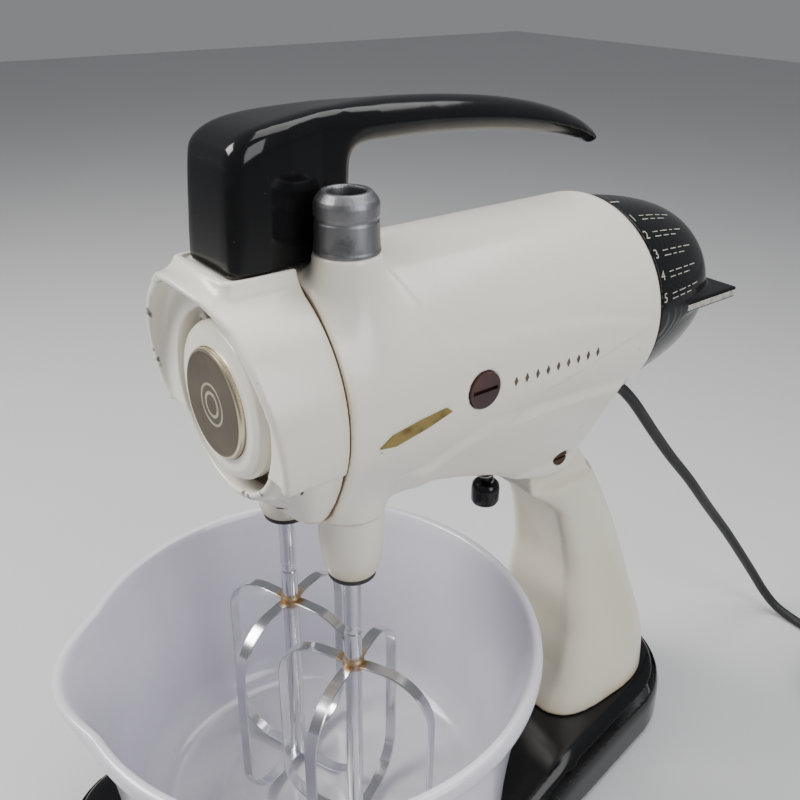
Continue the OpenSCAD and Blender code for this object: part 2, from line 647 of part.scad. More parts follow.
module field_coils() color(COPPER) in_head() both_sides() difference() {
    translate([stator_r - 17.5, core_y0 - 8, -15.5]) cube([8, core_y1 - core_y0 + 16, 31]);
    translate([stator_r - 20, core_y0 - 3, -10]) cube([20, core_y1 - core_y0 + 6, 20]);
}

module motor_shaft() color(STEEL) in_head() round_y(web_y + 5, 150, motor_shaft_r, motor_shaft_r);

module worm() color(BRONZE) in_head() difference() {
    round_y(-22, 22, worm_r, worm_r);
    round_y(-23, 23, motor_shaft_r, motor_shaft_r);
    for (y = [-18:4:18]) translate([0, y, 0]) rotate([-90, 0, 0]) rotate_extrude()
        polygon([[worm_r - 1.6, -0.4], [worm_r + 1, -1.4], [worm_r + 1, 1.4], [worm_r - 1.6, 0.4]]);
}

module armature_core() color(LAMINATION) in_head() difference() {
    round_y(core_y0, core_y1, armature_r, armature_r);
    round_y(0, 200, motor_shaft_r, motor_shaft_r);
    for (a = [0:30:330]) rotate([0, a, 0]) translate([armature_r - 6, 0, -1.2]) cube([7, 200, 2.4]);
}

module armature_windings() color(COPPER) in_head() for (y = [core_y0 - 8, core_y1]) difference() {
    round_y(y, y + 8, armature_r - 5, armature_r - 5);
    round_y(0, 200, motor_shaft_r, motor_shaft_r);
}

commutator_r = 12;
module commutator() color(COPPER) in_head() difference() {
    round_y(brush_y - 7, brush_y + 8, commutator_r, commutator_r);
    round_y(0, 200, motor_shaft_r, motor_shaft_r);
    for (a = [0:15:345]) rotate([0, a, 0]) translate([commutator_r - 0.8, 0, -0.25]) cube([2, 100, 0.5]);
}

fan_y = 127;
module cooling_fan() color(STEEL) in_head() {
    difference() {
        union() {
            round_y(fan_y, fan_y + 10, 8, 8);
            round_y(fan_y + 8.5, fan_y + 10, 42, 42);
        }
        round_y(0, 200, motor_shaft_r, motor_shaft_r);
    }
    for (a = [0:30:330]) rotate([0, a, 0]) translate([14, fan_y, -0.6]) cube([27, 9, 1.2]);
}

module governor_disc() color(BRONZE) in_head() {
    difference() {
        round_y(149.5, 152, 18, 18);
        round_y(0, 200, motor_shaft_r, motor_shaft_r);
    }
    for (a = [0, 180]) rotate([0, a, 0]) translate([12, 0, 0]) round_y(151.5, 156, 4, 4);
}

brush_hole_r = 4;
module brush_holders() color(BRONZE) in_head() both_sides() translate([0, brush_y, 0]) difference() {
    round_x(commutator_r + 1.5, head_r - 7, 6);
    round_x(0, 80, brush_hole_r);
}
module carbon_brushes() color(CARBON) in_head() both_sides() translate([0, brush_y, 0]) round_x(commutator_r + 0.2, 30, brush_hole_r - 0.1);
module brush_springs() color(STEEL) in_head() both_sides() translate([30, brush_y, 0]) rotate([0, 90, 0]) spring(3, 0.45, 6, head_r - 7 - 30);

speed_plate_y = head_back - 10;
dial_post_r = 4;
module speed_plate() color("#4a3a28") in_head() difference() {
    union() {
        round_y(speed_plate_y, speed_plate_y + 3, inner_r - 5.2, inner_r - 5.2);
        round_y(speed_plate_y + 2, head_back + dial_len - 14, dial_post_r, dial_post_r);
    }
    for (a = [30, 150, 270]) rotate([0, a, 0]) translate([24, 0, 0]) round_y(100, 200, 3, 3);
}

module capacitor() color("#c9b37a") in_head() translate([0, 0, -36]) round_y(rear_bracket_y + 3, speed_plate_y, 7, 7);

// ---------------------------------------------------------------- spindles and beaters

function gear_outline(r, teeth, depth) = [for (i = [0:4 * teeth - 1]) let (a = 360 * i / (4 * teeth), k = i % 4)
    (k < 2 ? r : r - depth) * [cos(a), sin(a)]];

module gear(x) color(BRONZE) in_head() translate([x, 0, -gear_t / 2]) difference() {
    union() {
        linear_extrude(height = gear_t) polygon(gear_outline(gear_r, gear_teeth, 1.8));
        cylinder(h = gear_t + 2, r = spindle_r + 4);
    }
    translate([0, 0, -e]) cylinder(h = gear_t + 5, r = spindle_r);
}

module spindle(x) color(STEEL) in_head() translate([x, 0, sleeve_end - seal_t + 1]) ring(spindle_r, bore_r, spindle_top - sleeve_end + seal_t - 1);

shoulder_r = 26;
corner_bend = 22;
blade_mid = blade_r - blade_t;
function blade_path(inset) = concat(
    [[0, blade_top - inset]],
    arc(blade_r - shoulder_r, blade_top - shoulder_r, shoulder_r - inset, 90, 0, 10),
    arc(blade_r - corner_bend, blade_bottom + corner_bend, corner_bend - inset, 0, -90, 8),
    [[0, blade_bottom + inset]]);
module blade() rotate([90, 0, 0]) translate([0, 0, -blade_w / 2]) linear_extrude(height = blade_w) difference() {
    polygon(blade_path(0));
    polygon(blade_path(blade_t));
}

beater_top = 2;
module beater(x, angle) color(CHROME) placed() translate([x, 0, 0]) {
    translate([0, 0, blade_bottom - 1]) cylinder(h = head_h + beater_top - blade_bottom + 1, r = shaft_r);
    for (k = [0:3]) rotate(angle + 90 * k) blade();
    translate([0, 0, blade_top - 4]) cylinder(h = 5, r = shaft_r + 1.4);
}

module left_gear() gear(-beater_x);
module right_gear() gear(beater_x);
module left_spindle() spindle(-beater_x);
module right_spindle() spindle(beater_x);
module left_beater() beater(-beater_x, blade_angles[0]);
module right_beater() beater(beater_x, blade_angles[1]);

// ---------------------------------------------------------------- handle and ejector

post_front = 46;
function reverse(list) = [for (i = [len(list) - 1:-1:0]) list[i]];
// One side of the handle seen from above: s is 1 for the right side
function handle_plan(s) = [[s * (post_half - 5), -post_front], [s * (post_half - 1.5), -post_front + 1.5], [s * post_half, -post_front + 5],
    [s * post_half, -28], [s * (post_half - 1.2), -16], [s * (grip_half + 1.6), 0], [s * grip_half, 14], [s * grip_half, 130],
    [s * (grip_half - 2), 160], [s * (grip_half - 6), 174], [s * 3, 175.5]];
handle_side = concat(
    [[-post_front, handle_foot], [4 - post_front, 95], [-38, 103], [-29, 108.5], [-12, 112.5], [8, 114.3], [40, 114.5]],
    [[70, 113.2], [105, 109.5], [138, 102.5], [162, 93.5], [173, 86], [174.5, 81.5], [171, 79]],
    [[160, 82.5], [140, 87.5], [115, 92.5], [90, 95.5], [60, 97], [30, 97.5], [20, 96.5], [17, 92], [16, 85], [14.4, 66], [13.2, handle_foot]]);

module handle() color(BLACK) in_head() difference() {
    intersection() {
        along_x(-post_half, post_half) polygon(handle_side);
        translate([0, 0, 50]) linear_extrude(height = 80) polygon(concat(handle_plan(1), reverse(handle_plan(-1))));
    }
    for (y = bracket_screw_y) translate([0, y, handle_foot - e]) cylinder(h = 14, r = 2);
}

bracket_screw_y = [-30, -10];
bracket_t = 2;
finger_h = ejector_h + ejector_t + 1.3;
module handle_bracket() color(STEEL) in_head() difference() {
    union() {
        translate([-post_half + 5, -post_front + 4, handle_foot - bracket_t]) cube([2 * post_half - 10, post_front + 8.5, bracket_t]);
        translate([-5.5, 3.5, finger_h]) cube([11, 9, handle_foot - bracket_t - finger_h + 1]);
        translate([-5.5, 3.5, finger_h]) cube([11, 31, 5]);
        for (y = bracket_screw_y) translate([0, y, handle_foot - 1]) cylinder(h = 12, r = 2);
    }
    translate([0, handle_pin_y, handle_pin_h]) round_x(-20, 20, handle_pin_r + run_fit);
}

module handle_pin() color(STEEL) in_head() translate([0, handle_pin_y, handle_pin_h]) round_x(-13, 13, handle_pin_r);

plate_half = beater_x + 5;
module ejector_plate() color(STEEL) in_head() difference() {
    union() {
        translate([-plate_half, -4, ejector_h]) cube([2 * plate_half, 8, ejector_t]);
        translate([-5, 3, ejector_h]) cube([10, 32, ejector_t + 1]);
        for (s = [-1, 1]) translate([s * beater_x, 0, beater_top + 0.2]) cylinder(h = ejector_h - beater_top, r = 3.2);
    }
    translate([beater_x, 0, 0]) cylinder(h = 40, r = 1.8);
}

// Pulls the plate back up; it hangs from a peg in the housing's crown
ejector_spring_x = -26;
ejector_spring_top = 44.5;
module ejector_spring() color(STEEL) in_head() translate([ejector_spring_x, 0, ejector_h + ejector_t])
    spring(3.1, 0.5, 7, ejector_spring_top - ejector_h - ejector_t);

// ---------------------------------------------------------------- dial and tilt button

dial_gap = 0.5;
function dial_curve(len, r, n) = [for (i = [0:n]) let (t = pow(sin(90 * i / n), 1.15)) [r * pow(max(1 - pow(t, 1.2), 0), 0.2), len * t]];
module speed_dial() color(BLACK) in_head() translate([0, head_back + dial_gap, 0]) difference() {
    union() {
        rotate([-90, 0, 0]) rotate_extrude() polygon(concat([[0, 0]], dial_curve(dial_len - dial_gap, dial_r, 18)));
        translate([-bar_half, 14, -bar_t / 2]) cube([2 * bar_half, dial_len - 16, bar_t]);
    }
    difference() {
        rotate([-90, 0, 0]) translate([0, 0, -e]) rotate_extrude()
            polygon(concat([[0, 0]], dial_curve(dial_len - dial_wall - dial_gap, dial_r - dial_wall, 18)));
        round_y(18, dial_len, 8, 8);
    }
    round_y(-1, dial_len - 13, dial_post_r + run_fit, dial_post_r + run_fit);
}

knob_low = -112;
module tilt_button() color(BLACK) in_head() translate([0, button_y, 0]) {
    rotate_extrude() polygon([[0, knob_low], [5.5, knob_low], [8, knob_low + 2.5], [8, knob_low + 11], [6.5, knob_low + 14],
        [button_stem_r, knob_low + 14], [button_stem_r, button_web_h + button_web_t + 2], [0, button_web_h + button_web_t + 2]]);
    translate([0, 0, button_web_h + button_web_t]) cylinder(h = 2, r = 5);
}

module tilt_spring() color(STEEL) in_head() translate([0, button_y, knob_low + 14]) spring(4.2, 0.5, 5, button_web_h - knob_low - 14);

// ---------------------------------------------------------------- cord

cord_r = cord_d / 2;
cord_route = [
    [6, 193, 251], [6.5, 199, 250], [7.5, 206, 246], [9, 213, 239.5], [10, 222, 230], [11, 234, 217], [12.5, 248, 201.5],
    [14, 268, 180], [16, 292, 154], [19, 318, 124], [23, 345, 92], [27, 366, 65], [32, 384, 40], [39, 396, 20], [48, 402, 8.5],
    [60, 404, 4.2], [74, 404, 3.5], [90, 405, 3.5], [104, 407, 3.5], [118, 411.5, 3.5], [132, 418.6, 3.5]
];
// Smooth curve through the route's points
function catmull(p0, p1, p2, p3, t) = 0.5 * (2 * p1 + (p2 - p0) * t + (2 * p0 - 5 * p1 + 4 * p2 - p3) * t * t + (3 * p1 - p0 - 3 * p2 + p3) * t * t * t);
function smooth_route(p, steps) = let (n = len(p)) concat(
    [for (i = [0:n - 2]) for (k = [0:steps - 1]) catmull(p[max(i - 1, 0)], p[i], p[i + 1], p[min(i + 2, n - 1)], k / steps)], [p[n - 1]]);

module cord_run() color(RUBBER) placed() swept_tube(smooth_route(cord_route, 3), cord_r, 10);

coil_centre = [155, 372];
coil_layers = 2;
module cord_coil() color(RUBBER) placed() translate([coil_centre.x, coil_centre.y, 0]) rotate_extrude() translate([coil_mid_r - 1.5 * cord_d, 0])
    square([3 * cord_d, coil_layers * cord_d]);

// The plug lies where the coil's last turn leaves it
module cord_plug() color(RUBBER) placed() difference() {
    translate([coil_centre.x + 30, coil_centre.y + coil_mid_r + cord_d, 8]) {
        translate([0, -10, -8]) cube([28, 20, 16]);
        translate([-18, 0, 0]) rotate([0, 90, 0]) cylinder(h = 19, r1 = cord_r + 0.2, r2 = cord_r + 2);
        for (y = [-6.35, 6.35]) translate([27, y - 3.2, -0.8]) cube([18, 6.4, 1.6]);
    }
    translate([coil_centre.x, coil_centre.y, -1]) cylinder(h = 20, r = coil_mid_r + 1.5 * cord_d + 0.1);
}

base_casting();
bottom_plate();
rubber_feet();
plate_screws();
pedestal();
pedestal_bolts();
hinge_pin();
turntable_pivot();
turntable_glides();
cord_run();
cord_coil();
cord_plug();
turntable();
mixing_bowl();
motor_housing();
gearcase_cover();
front_cap();
medallion();
nameplate();
trim_marks();
brush_caps();
brush_holders();
carbon_brushes();
brush_springs();
stator_core();
field_coils();
gear_plate();
front_bearing();
rear_bracket();
rear_bearing();
spindle_sleeves();
sleeve_seals();
juicer_nozzle();
hinge_screws();
cord_grommet();
speed_plate();
capacitor();
cover_screws();
handle_pin();
motor_shaft();
worm();
armature_core();
armature_windings();
commutator();
cooling_fan();
governor_disc();
left_gear();
left_spindle();
left_beater();
right_gear();
right_spindle();
right_beater();
handle();
handle_bracket();
ejector_plate();
ejector_spring();
speed_dial();
tilt_button();
tilt_spring();
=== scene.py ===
"""Stand mixer: castings from signed-distance fields, turned parts as lathes, procedural finishes."""
import math

import bpy
import numpy as np
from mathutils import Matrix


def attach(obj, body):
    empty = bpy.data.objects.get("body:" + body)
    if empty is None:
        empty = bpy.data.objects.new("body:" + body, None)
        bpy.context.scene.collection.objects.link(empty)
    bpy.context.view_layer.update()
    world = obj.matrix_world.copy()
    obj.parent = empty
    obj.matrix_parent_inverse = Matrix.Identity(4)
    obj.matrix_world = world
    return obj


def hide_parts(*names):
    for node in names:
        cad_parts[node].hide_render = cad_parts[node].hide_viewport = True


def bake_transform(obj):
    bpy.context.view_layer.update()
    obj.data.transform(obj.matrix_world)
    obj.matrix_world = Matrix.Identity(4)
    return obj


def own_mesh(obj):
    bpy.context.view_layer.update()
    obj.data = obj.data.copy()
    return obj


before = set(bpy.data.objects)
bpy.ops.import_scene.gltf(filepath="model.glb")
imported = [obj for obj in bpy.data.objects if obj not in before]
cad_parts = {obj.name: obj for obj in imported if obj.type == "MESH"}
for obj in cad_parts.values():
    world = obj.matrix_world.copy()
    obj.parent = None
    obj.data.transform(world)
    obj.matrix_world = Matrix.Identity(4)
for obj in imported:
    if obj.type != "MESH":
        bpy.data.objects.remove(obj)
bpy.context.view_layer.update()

import openvdb
from mathutils import Matrix, Vector

# Shapes are worked out in millimetres from the beaters' plane, then moved by this to the frame
Y_MID = 72.0
HEAD = 312.0
HINGE_Y = 141.0
HINGE_Z = 232.0
BEATER_X = 29.5
SEAM = -18.0
scene = bpy.context.scene


# ------------------------------------------------------------------ camera

def set_camera():
    azimuth = math.radians(51.93)
    pitch = math.radians(27.42)
    roll = math.radians(0.83)
    right = Vector((math.cos(azimuth), math.sin(azimuth), 0))
    up = Vector((-math.sin(pitch) * math.sin(azimuth), math.sin(pitch) * math.cos(azimuth),
        math.cos(pitch)))
    back = Vector((math.cos(pitch) * math.sin(azimuth), -math.cos(pitch) * math.cos(azimuth),
        math.sin(pitch)))
    cam_x = math.cos(roll) * right + math.sin(roll) * up
    cam_y = -math.sin(roll) * right + math.cos(roll) * up
    data = bpy.data.cameras.new("camera")
    data.sensor_width = 36
    data.lens = 39.6
    data.clip_start = 0.01
    data.clip_end = 30
    camera = bpy.data.objects.new("camera", data)
    scene.collection.objects.link(camera)
    turn = Matrix((cam_x, cam_y, back)).transposed().to_4x4()
    camera.matrix_world = Matrix.Translation((0.29917, -0.25643, 0.4812)) @ turn
    scene.camera = camera


set_camera()


# ------------------------------------------------------------------ meshes

def link(name, mesh):
    obj = bpy.data.objects.new(name.replace(" ", "_"), mesh)
    scene.collection.objects.link(obj)
    return obj


def build(name, points, faces, smooth=True):
    """Makes an object from points in millimetres from the beaters' plane."""
    points = np.asarray(points, dtype=float)
    points = (points - np.array([0, Y_MID, 0])) * 0.001
    mesh = bpy.data.meshes.new(name)
    mesh.from_pydata(points.tolist(), [], [list(map(int, f)) for f in faces])
    mesh.validate()
    mesh.update()
    if smooth:
        mesh.shade_smooth()
    return link(name, mesh)


def cast(name, field, low, high, step, smooth=2):
    """Meshes the surface where field(x, y, z) is zero, then relaxes it."""
    axes = [np.arange(a - 2 * step, b + 3 * step, step) for a, b in zip(low, high)]
    x = axes[0][:, None, None]
    y = axes[1][None, :, None]
    z = axes[2][None, None, :]
    values = np.broadcast_to(field(x, y, z), [len(a) for a in axes])
    values = np.clip(values, -4 * step, 4 * step).astype(np.float32)
    grid = openvdb.FloatGrid(4 * step)
    grid.copyFromArray(np.ascontiguousarray(values))
    points, quads = grid.convertToQuads(0.0)
    origin = np.array([a[0] for a in axes])
    obj = build(name, points * step + origin, quads[:, ::-1])
    relax = obj.modifiers.new("relax", "SMOOTH")
    relax.factor = 0.5
    relax.iterations = smooth
    return obj


def soften(points, rounds=2):
    """Cuts the corners of a closed outline until it is smooth."""
    for _ in range(rounds):
        cut = []
        for (ax, ay), (bx, by) in zip(points, points[1:] + points[:1]):
            cut.append((ax * 0.75 + bx * 0.25, ay * 0.75 + by * 0.25))
            cut.append((ax * 0.25 + bx * 0.75, ay * 0.25 + by * 0.75))
        points = cut
    return points


def eased(table, width=13):
    """Rows of heights and sizes, resampled every millimetre and smoothed."""
    z = np.arange(table[0, 0] - 20, table[-1, 0] + 20, 1.0)
    lines = [z]
    for i in range(1, table.shape[1]):
        line = np.interp(z, table[:, 0], table[:, i])
        for _ in range(2):
            line = np.convolve(line, np.ones(width) / width, "same")
        lines.append(line)
    return np.array(lines).T[20:-20]


def lathe(profile, centre=(0, 0, 0), axis="z", sides=96):
    """Points and faces of an outline of (radius, distance along the axis) turned about the axis."""
    n = len(profile)
    points = []
    for k in range(sides):
        a = 2 * math.pi * k / sides
        for r, t in profile:
            u = r * math.cos(a)
            v = r * math.sin(a)
            spot = {"z": (u, v, t), "y": (u, t, -v), "x": (t, u, v)}[axis]
            points.append([s + c for s, c in zip(spot, centre)])
    faces = []
    for k in range(sides):
        m = (k + 1) % sides
        for i in range(n - 1):
            faces.append((k * n + i, m * n + i, m * n + i + 1, k * n + i + 1))
    return points, faces


def turned(name, profile, centre=(0, 0, 0), axis="z", sides=96):
    points, faces = lathe(profile, centre, axis, sides)
    obj = build(name, points, faces)
    weld(obj)
    return obj


def weld(obj, distance=0.00001):
    import bmesh
    work = bmesh.new()
    work.from_mesh(obj.data)
    bmesh.ops.remove_doubles(work, verts=work.verts, dist=distance)
    bmesh.ops.recalc_face_normals(work, faces=work.faces)
    work.to_mesh(obj.data)
    work.free()
    obj.data.shade_smooth()


def sharpen(obj, degrees=35):
    obj.data.set_sharp_from_angle(angle=math.radians(degrees))


def rounded(profile, radius, steps=5):
    """Rounds the inner corners of an open outline."""
    out = [profile[0]]
    for before, here, after in zip(profile, profile[1:], profile[2:]):
        p = Vector(before)
        q = Vector(here)
        s = Vector(after)
        d0 = (p - q).length
        d1 = (s - q).length
        reach = min(radius, 0.45 * d0, 0.45 * d1)
        if reach < 0.02:
            out.append(tuple(q))
            continue
        a = q + (p - q).normalized() * reach
        b = q + (s - q).normalized() * reach
        for i in range(steps + 1):
            t = i / steps
            out.append(tuple((1 - t) ** 2 * a + 2 * t * (1 - t) * q + t * t * b))
    out.append(profile[-1])
    return out


def smooth_path(points, steps):
    """Catmull-Rom curve through the points."""
    p = [Vector(q) for q in points]
    out = []
    for i in range(len(p) - 1):
        a = p[max(i - 1, 0)]
        b = p[i]
        c = p[i + 1]
        d = p[min(i + 2, len(p) - 1)]
        for k in range(steps):
            t = k / steps
            square = (2 * a - 5 * b + 4 * c - d) * t * t
            cube = (3 * b - a - 3 * c + d) * t ** 3
            out.append(0.5 * (2 * b + (c - a) * t + square + cube))
    out.append(p[-1])
    return out


def tube_mesh(path, radius, sides=16):
    """Points and faces of a tube along the path, its frame carried without twist."""
    path = [Vector(p) for p in path]
    n = len(path)
    side = None
    points = []
    for i, here in enumerate(path):
        along = (path[min(i + 1, n - 1)] - path[max(i - 1, 0)]).normalized()
        if side is None:
            side = along.orthogonal().normalized()
        side = (side - along * side.dot(along)).normalized()
        other = along.cross(side)
        r = radius(i / (n - 1)) if callable(radius) else radius
        for k in range(sides):
            a = 2 * math.pi * k / sides
            points.append(here + r * (math.cos(a) * side + math.sin(a) * other))
    faces = []
    for i in range(n - 1):
        for k in range(sides):
            m = (k + 1) % sides
            faces.append((i * sides + k, i * sides + m, (i + 1) * sides + m, (i + 1) * sides + k))
    faces.append(list(range(sides))[::-1])
    faces.append([(n - 1) * sides + k for k in range(sides)])
    return points, faces


# ------------------------------------------------------------------ fields

def smax(a, b, k):
    h = np.maximum(k - np.abs(a - b), 0) / k
    return np.maximum(a, b) + h * h * k * 0.25


def smin(a, b, k):
    return -smax(-a, -b, k)


def ramp(value, a, b):
    t = np.clip((value - a) / (b - a), 0, 1)
    return t * t * (3 - 2 * t)


def box_field(x, y, z, low, high):
    d = np.maximum(np.maximum(low[0] - x, x - high[0]), np.maximum(low[1] - y, y - high[1]))
    return np.maximum(d, np.maximum(low[2] - z, z - high[2]))


def outline(u, v, points):
    """Signed distance to a closed outline, negative inside."""
    u, v = np.broadcast_arrays(u, v)
    best = np.full(u.shape, 1e9)
    inside = np.zeros(u.shape, bool)
    for (ax, ay), (bx, by) in zip(points, points[1:] + points[:1]):
        ex = bx - ax
        ey = by - ay
        wx = u - ax
        wy = v - ay
        t = np.clip((wx * ex + wy * ey) / (ex * ex + ey * ey), 0, 1)
        best = np.minimum(best, (wx - ex * t) ** 2 + (wy - ey * t) ** 2)
        if ay != by:
            spans = ((v >= ay) & (v < by)) | ((v >= by) & (v < ay))
            inside ^= spans & (u < ax + (v - ay) / (by - ay) * ex)
    return np.where(inside, -1, 1) * np.sqrt(best)


def arc(cx, cy, r, a0, a1, n):
    out = []
    for i in range(n + 1):
        a = math.radians(a0 + (a1 - a0) * i / n)
        out.append((cx + r * math.cos(a), cy + r * math.sin(a)))
    return out


CHIN = [(-44, -12), (-47, -26), (-45.5, -36), (-42, -45), (-36.5, -51.2), (-29, -54), (29, -54),
    (36.5, -51.2), (42, -45), (45.5, -36),
        (47, -26), (44, -12)]
CHIN_INNER = [(-40, -12), (-43, -26), (-41, -36), (-38, -42), (-33, -47), (-27, -49), (27, -49),
    (33, -47), (38, -42), (41, -36),
              (43, -26), (40, -12)]
NECK_SIDE = ([(24, -38), (24, -46), (41, -51), (64, -60), (88, -71), (109, -84)]
             + arc(141, -80, 16, 222, 360, 12) + [(158, -50), (158, -30), (60, -20)])
NECK_FRONT = [(-27, -110), (27, -110), (27, -80), (52, -28), (54, -12), (50, 0), (-50, 0), (-54, -12),
    (-52, -28), (-27, -80)]


def housing_field(x, y, z):
    h = z - HEAD
    side = np.abs(x)
    r = np.sqrt(x * x + h * h)
    barrel = smax(r - 56.1, y - 176, 9)
    # raised front band that runs back along the side as a spear
    upper = np.interp(y, [20, 24, 29, 33, 38, 80, 125, 150, 170], [64, 50, 36, 28, 24.5, 21.5, 15.5, 9, 3])
    lower = np.interp(y, [8, 14, 60, 94, 140, 168], [-70, -33, -32, -14, -2.5, 2.5])
    soft = np.interp(y, [20, 35, 60, 160], [1.5, 5, 7, 5])
    raised = np.clip((upper - h) / soft + 0.3, 0, 1) * np.clip((h - lower) / 1.6 + 0.5, 0, 1)
    raised = raised * raised * (3 - 2 * raised)
    barrel = barrel - 0.9 * raised * (1 - ramp(y, 158, 170))
    chin = smax(outline(x, h, CHIN), y - 32, 5)
    neck = smax(outline(y, h, NECK_SIDE), outline(x, h, NECK_FRONT), 5)
    d = smin(barrel, neck, 3.5)
    d = smin(d, chin, 6)
    socket = smax(np.sqrt((side - BEATER_X) ** 2 + y * y) - 15.4, np.abs(h + 40) - 14, 1)
    d = smin(d, socket, 5)
    spout = np.sqrt((x - BEATER_X) ** 2 + y * y)
    boss = (spout - np.interp(h, [30, 50, 64.4], [19.5, 15.2, 13.5])) * 0.97
    d = smin(d, smax(smax(boss, h - 64.4, 1), 20 - h, 1), 7)
    gland = np.sqrt((x - 6) ** 2 + (h + 61) ** 2) - 8
    d = smin(d, smax(smax(gland, y - 172, 2), 150 - y, 2), 3)
    tab = box_field(x, y, h, (-9, 15.6, 50), (15, 20, 62.5))
    d = smin(d, tab, 2)
    hollow = np.minimum(np.maximum(r - 53, y - 164), np.maximum(r - 49, 160 - y))
    hollow = np.minimum(hollow, np.maximum(outline(x, h, CHIN_INNER), y - 29))
    hollow = np.minimum(hollow, box_field(x, y, h, (-21.5, 64, -140), (21.5, 200, -59.5)))
    keep = np.maximum(gland, 161 - y)
    hollow = np.maximum(hollow, -np.maximum(keep, 53.5 - r))
    d = np.maximum(d, -hollow)
    web = box_field(x, y, h, (-22.5, 103, -74), (22.5, 121, -68))
    d = np.minimum(d, web)
    cuts = np.maximum(np.sqrt((y - 51.6) ** 2 + h * h) - 8.7, 40 - side)
    cuts = np.minimum(cuts, np.maximum(np.sqrt((side - BEATER_X) ** 2 + y * y) - 9, h + 45))
    cuts = np.minimum(cuts, np.maximum(spout - 8.5, 20 - h))
    hinge = np.sqrt((y - HINGE_Y) ** 2 + (z - HINGE_Z) ** 2)
    cuts = np.minimum(cuts, np.maximum(hinge - 4.8, 25.4 - side))
    cuts = np.minimum(cuts, hinge - 4.05)
    cuts = np.minimum(cuts, np.maximum(np.sqrt((x - 6) ** 2 + (h + 61) ** 2) - 4, 150 - y))
    cuts = np.minimum(cuts, np.maximum(np.sqrt(x * x + (y - 112) ** 2) - 3.2, h + 60))
    cuts = np.minimum(cuts, box_field(x, y, h, (-7.5, 0, 40), (7.5, 14.5, 80)))
    d = np.maximum(d, -cuts)
    return smax(d, SEAM + 0.15 - y, 0.8)


HOOD = [(-17, -19), (-45.5, -19), (-47.5, -8), (-52.5, 26), (-54.5, 44), (-57.5, 51), (-64, 58.5),
    (-17, 60)]
COVER_CHIN = [(-17, -54), (-21, -54), (-27, -51.5), (-31, -46), (-32, -38), (-32, 0), (-17, 0)]


def cover_field(x, y, z):
    h = z - HEAD
    r = np.sqrt(x * x + h * h)
    hood = smax(r - 57, outline(y, h, HOOD), 2.5)
    cone = (r - (42.6 + (y + 44) / 26 * 13)) * 0.89
    cup = smax(cone, -44.2 - y, 3)
    chin = smax(outline(x, h, CHIN), outline(y, h, COVER_CHIN), 9)
    d = smin(cup, chin, 8)
    d = smin(d, hood, 1.2)
    collar = smax(np.abs(x) - 22.2, np.abs(y + 32) - 17.6, 5)
    collar = smax(smax(collar, h - 58.6, 1.0), 42 - h, 1)
    d = smin(d, collar, 7)
    mouth = smax(r - 53, y + 44.2, 5)
    seat = np.maximum(r - 40, y + 36)
    inner = np.maximum(r - np.interp(y, [-33, -18], [50.5, 53.5]), -33 - y)
    inner = np.minimum(inner, np.maximum(outline(x, h, CHIN_INNER), np.maximum(-27 - y, -46 - h)))
    d = smax(d, -mouth, 1)
    d = smax(d, -seat, 1)
    d = np.maximum(d, -inner)
    angle = np.degrees(np.arctan2(h, x)) % 45
    vents = np.maximum(np.abs(r - 36.7) - 2.9, np.abs(y + 34) - 6)
    vents = np.maximum(vents, (np.abs(angle - 22.5) - 19) * 0.6)
    hole = np.maximum(r - 5.1, y + 20)
    pocket = np.maximum(smax(np.abs(x) - 20.2, np.abs(y + 13) - 33.7, 5), 57 - h)
    for cut in (vents, hole, pocket):
        d = np.maximum(d, -cut)
    return smax(d, y - SEAM + 0.15, 0.8)


HANDLE_FOOT = 57.8
HANDLE_SIDE = soften([(-47, 40), (-46.6, 58), (-44.5, 78), (-42.6, 96), (-40.5, 105), (-30, 110.5),
    (-12, 113), (8, 114.3), (40, 114.5),
                      (70, 113.2), (105, 109.5), (138, 102.5), (162, 93.5), (173, 87), (175.5, 82),
                          (170, 79), (158, 84), (140, 88.5),
                      (115, 92.8), (90, 95.5), (60, 97), (34, 97.5), (20, 97.5), (16.5, 94), (16, 85),
                          (14.6, 66), (13.2, 58), (13, 40)])
HANDLE_PLAN = [(12, -46.6), (17.5, -45.6), (19.6, -41.5), (19.6, -28), (18.2, -16), (14.1, 0), (12.5, 14),
    (12.5, 130), (11, 156), (8, 170),
               (3, 175.5)]


def handle_field(x, y, z):
    h = z - HEAD
    plan = HANDLE_PLAN + [(-a, b) for a, b in reversed(HANDLE_PLAN)]
    flat = outline(x, y, plan)
    side = outline(y, h, HANDLE_SIDE)
    k = np.interp(y, [-42, 10, 30, 60], [8, 7, 12, 15])
    d = smax(flat, side, k)
    screws = np.minimum(np.sqrt(x * x + (y + 30) ** 2), np.sqrt(x * x + (y + 10) ** 2)) - 2
    d = np.maximum(d, -np.maximum(screws, h - 73))
    under = np.maximum(np.maximum(np.abs(x) - 15.5, np.abs(y + 14.5) - 28.3), h - 60)
    d = np.maximum(d, -under)
    return np.maximum(d, HANDLE_FOOT - h)


def base_plan(x, y):
    side = np.abs(x)
    corner = np.sqrt((side - 72) ** 2 + (y + 87) ** 2) - 39
    tail = np.sqrt(x * x + (y - 205) ** 2) - 65
    dx = -72.0
    dy = 292.0
    length = math.hypot(dx, dy)
    a = -math.acos((39 - 65) / length)
    nx = (dx * math.cos(a) - dy * math.sin(a)) / length
    ny = (dx * math.sin(a) + dy * math.cos(a)) / length
    f = (72 + 39 * nx, -87 + 39 * ny)
    b = (65 * nx, 205 + 65 * ny)
    body = outline(x, y, [f, b, (-b[0], b[1]), (-f[0], f[1]), (-72, -126), (72, -126)])
    return np.minimum(np.minimum(corner, tail), body)


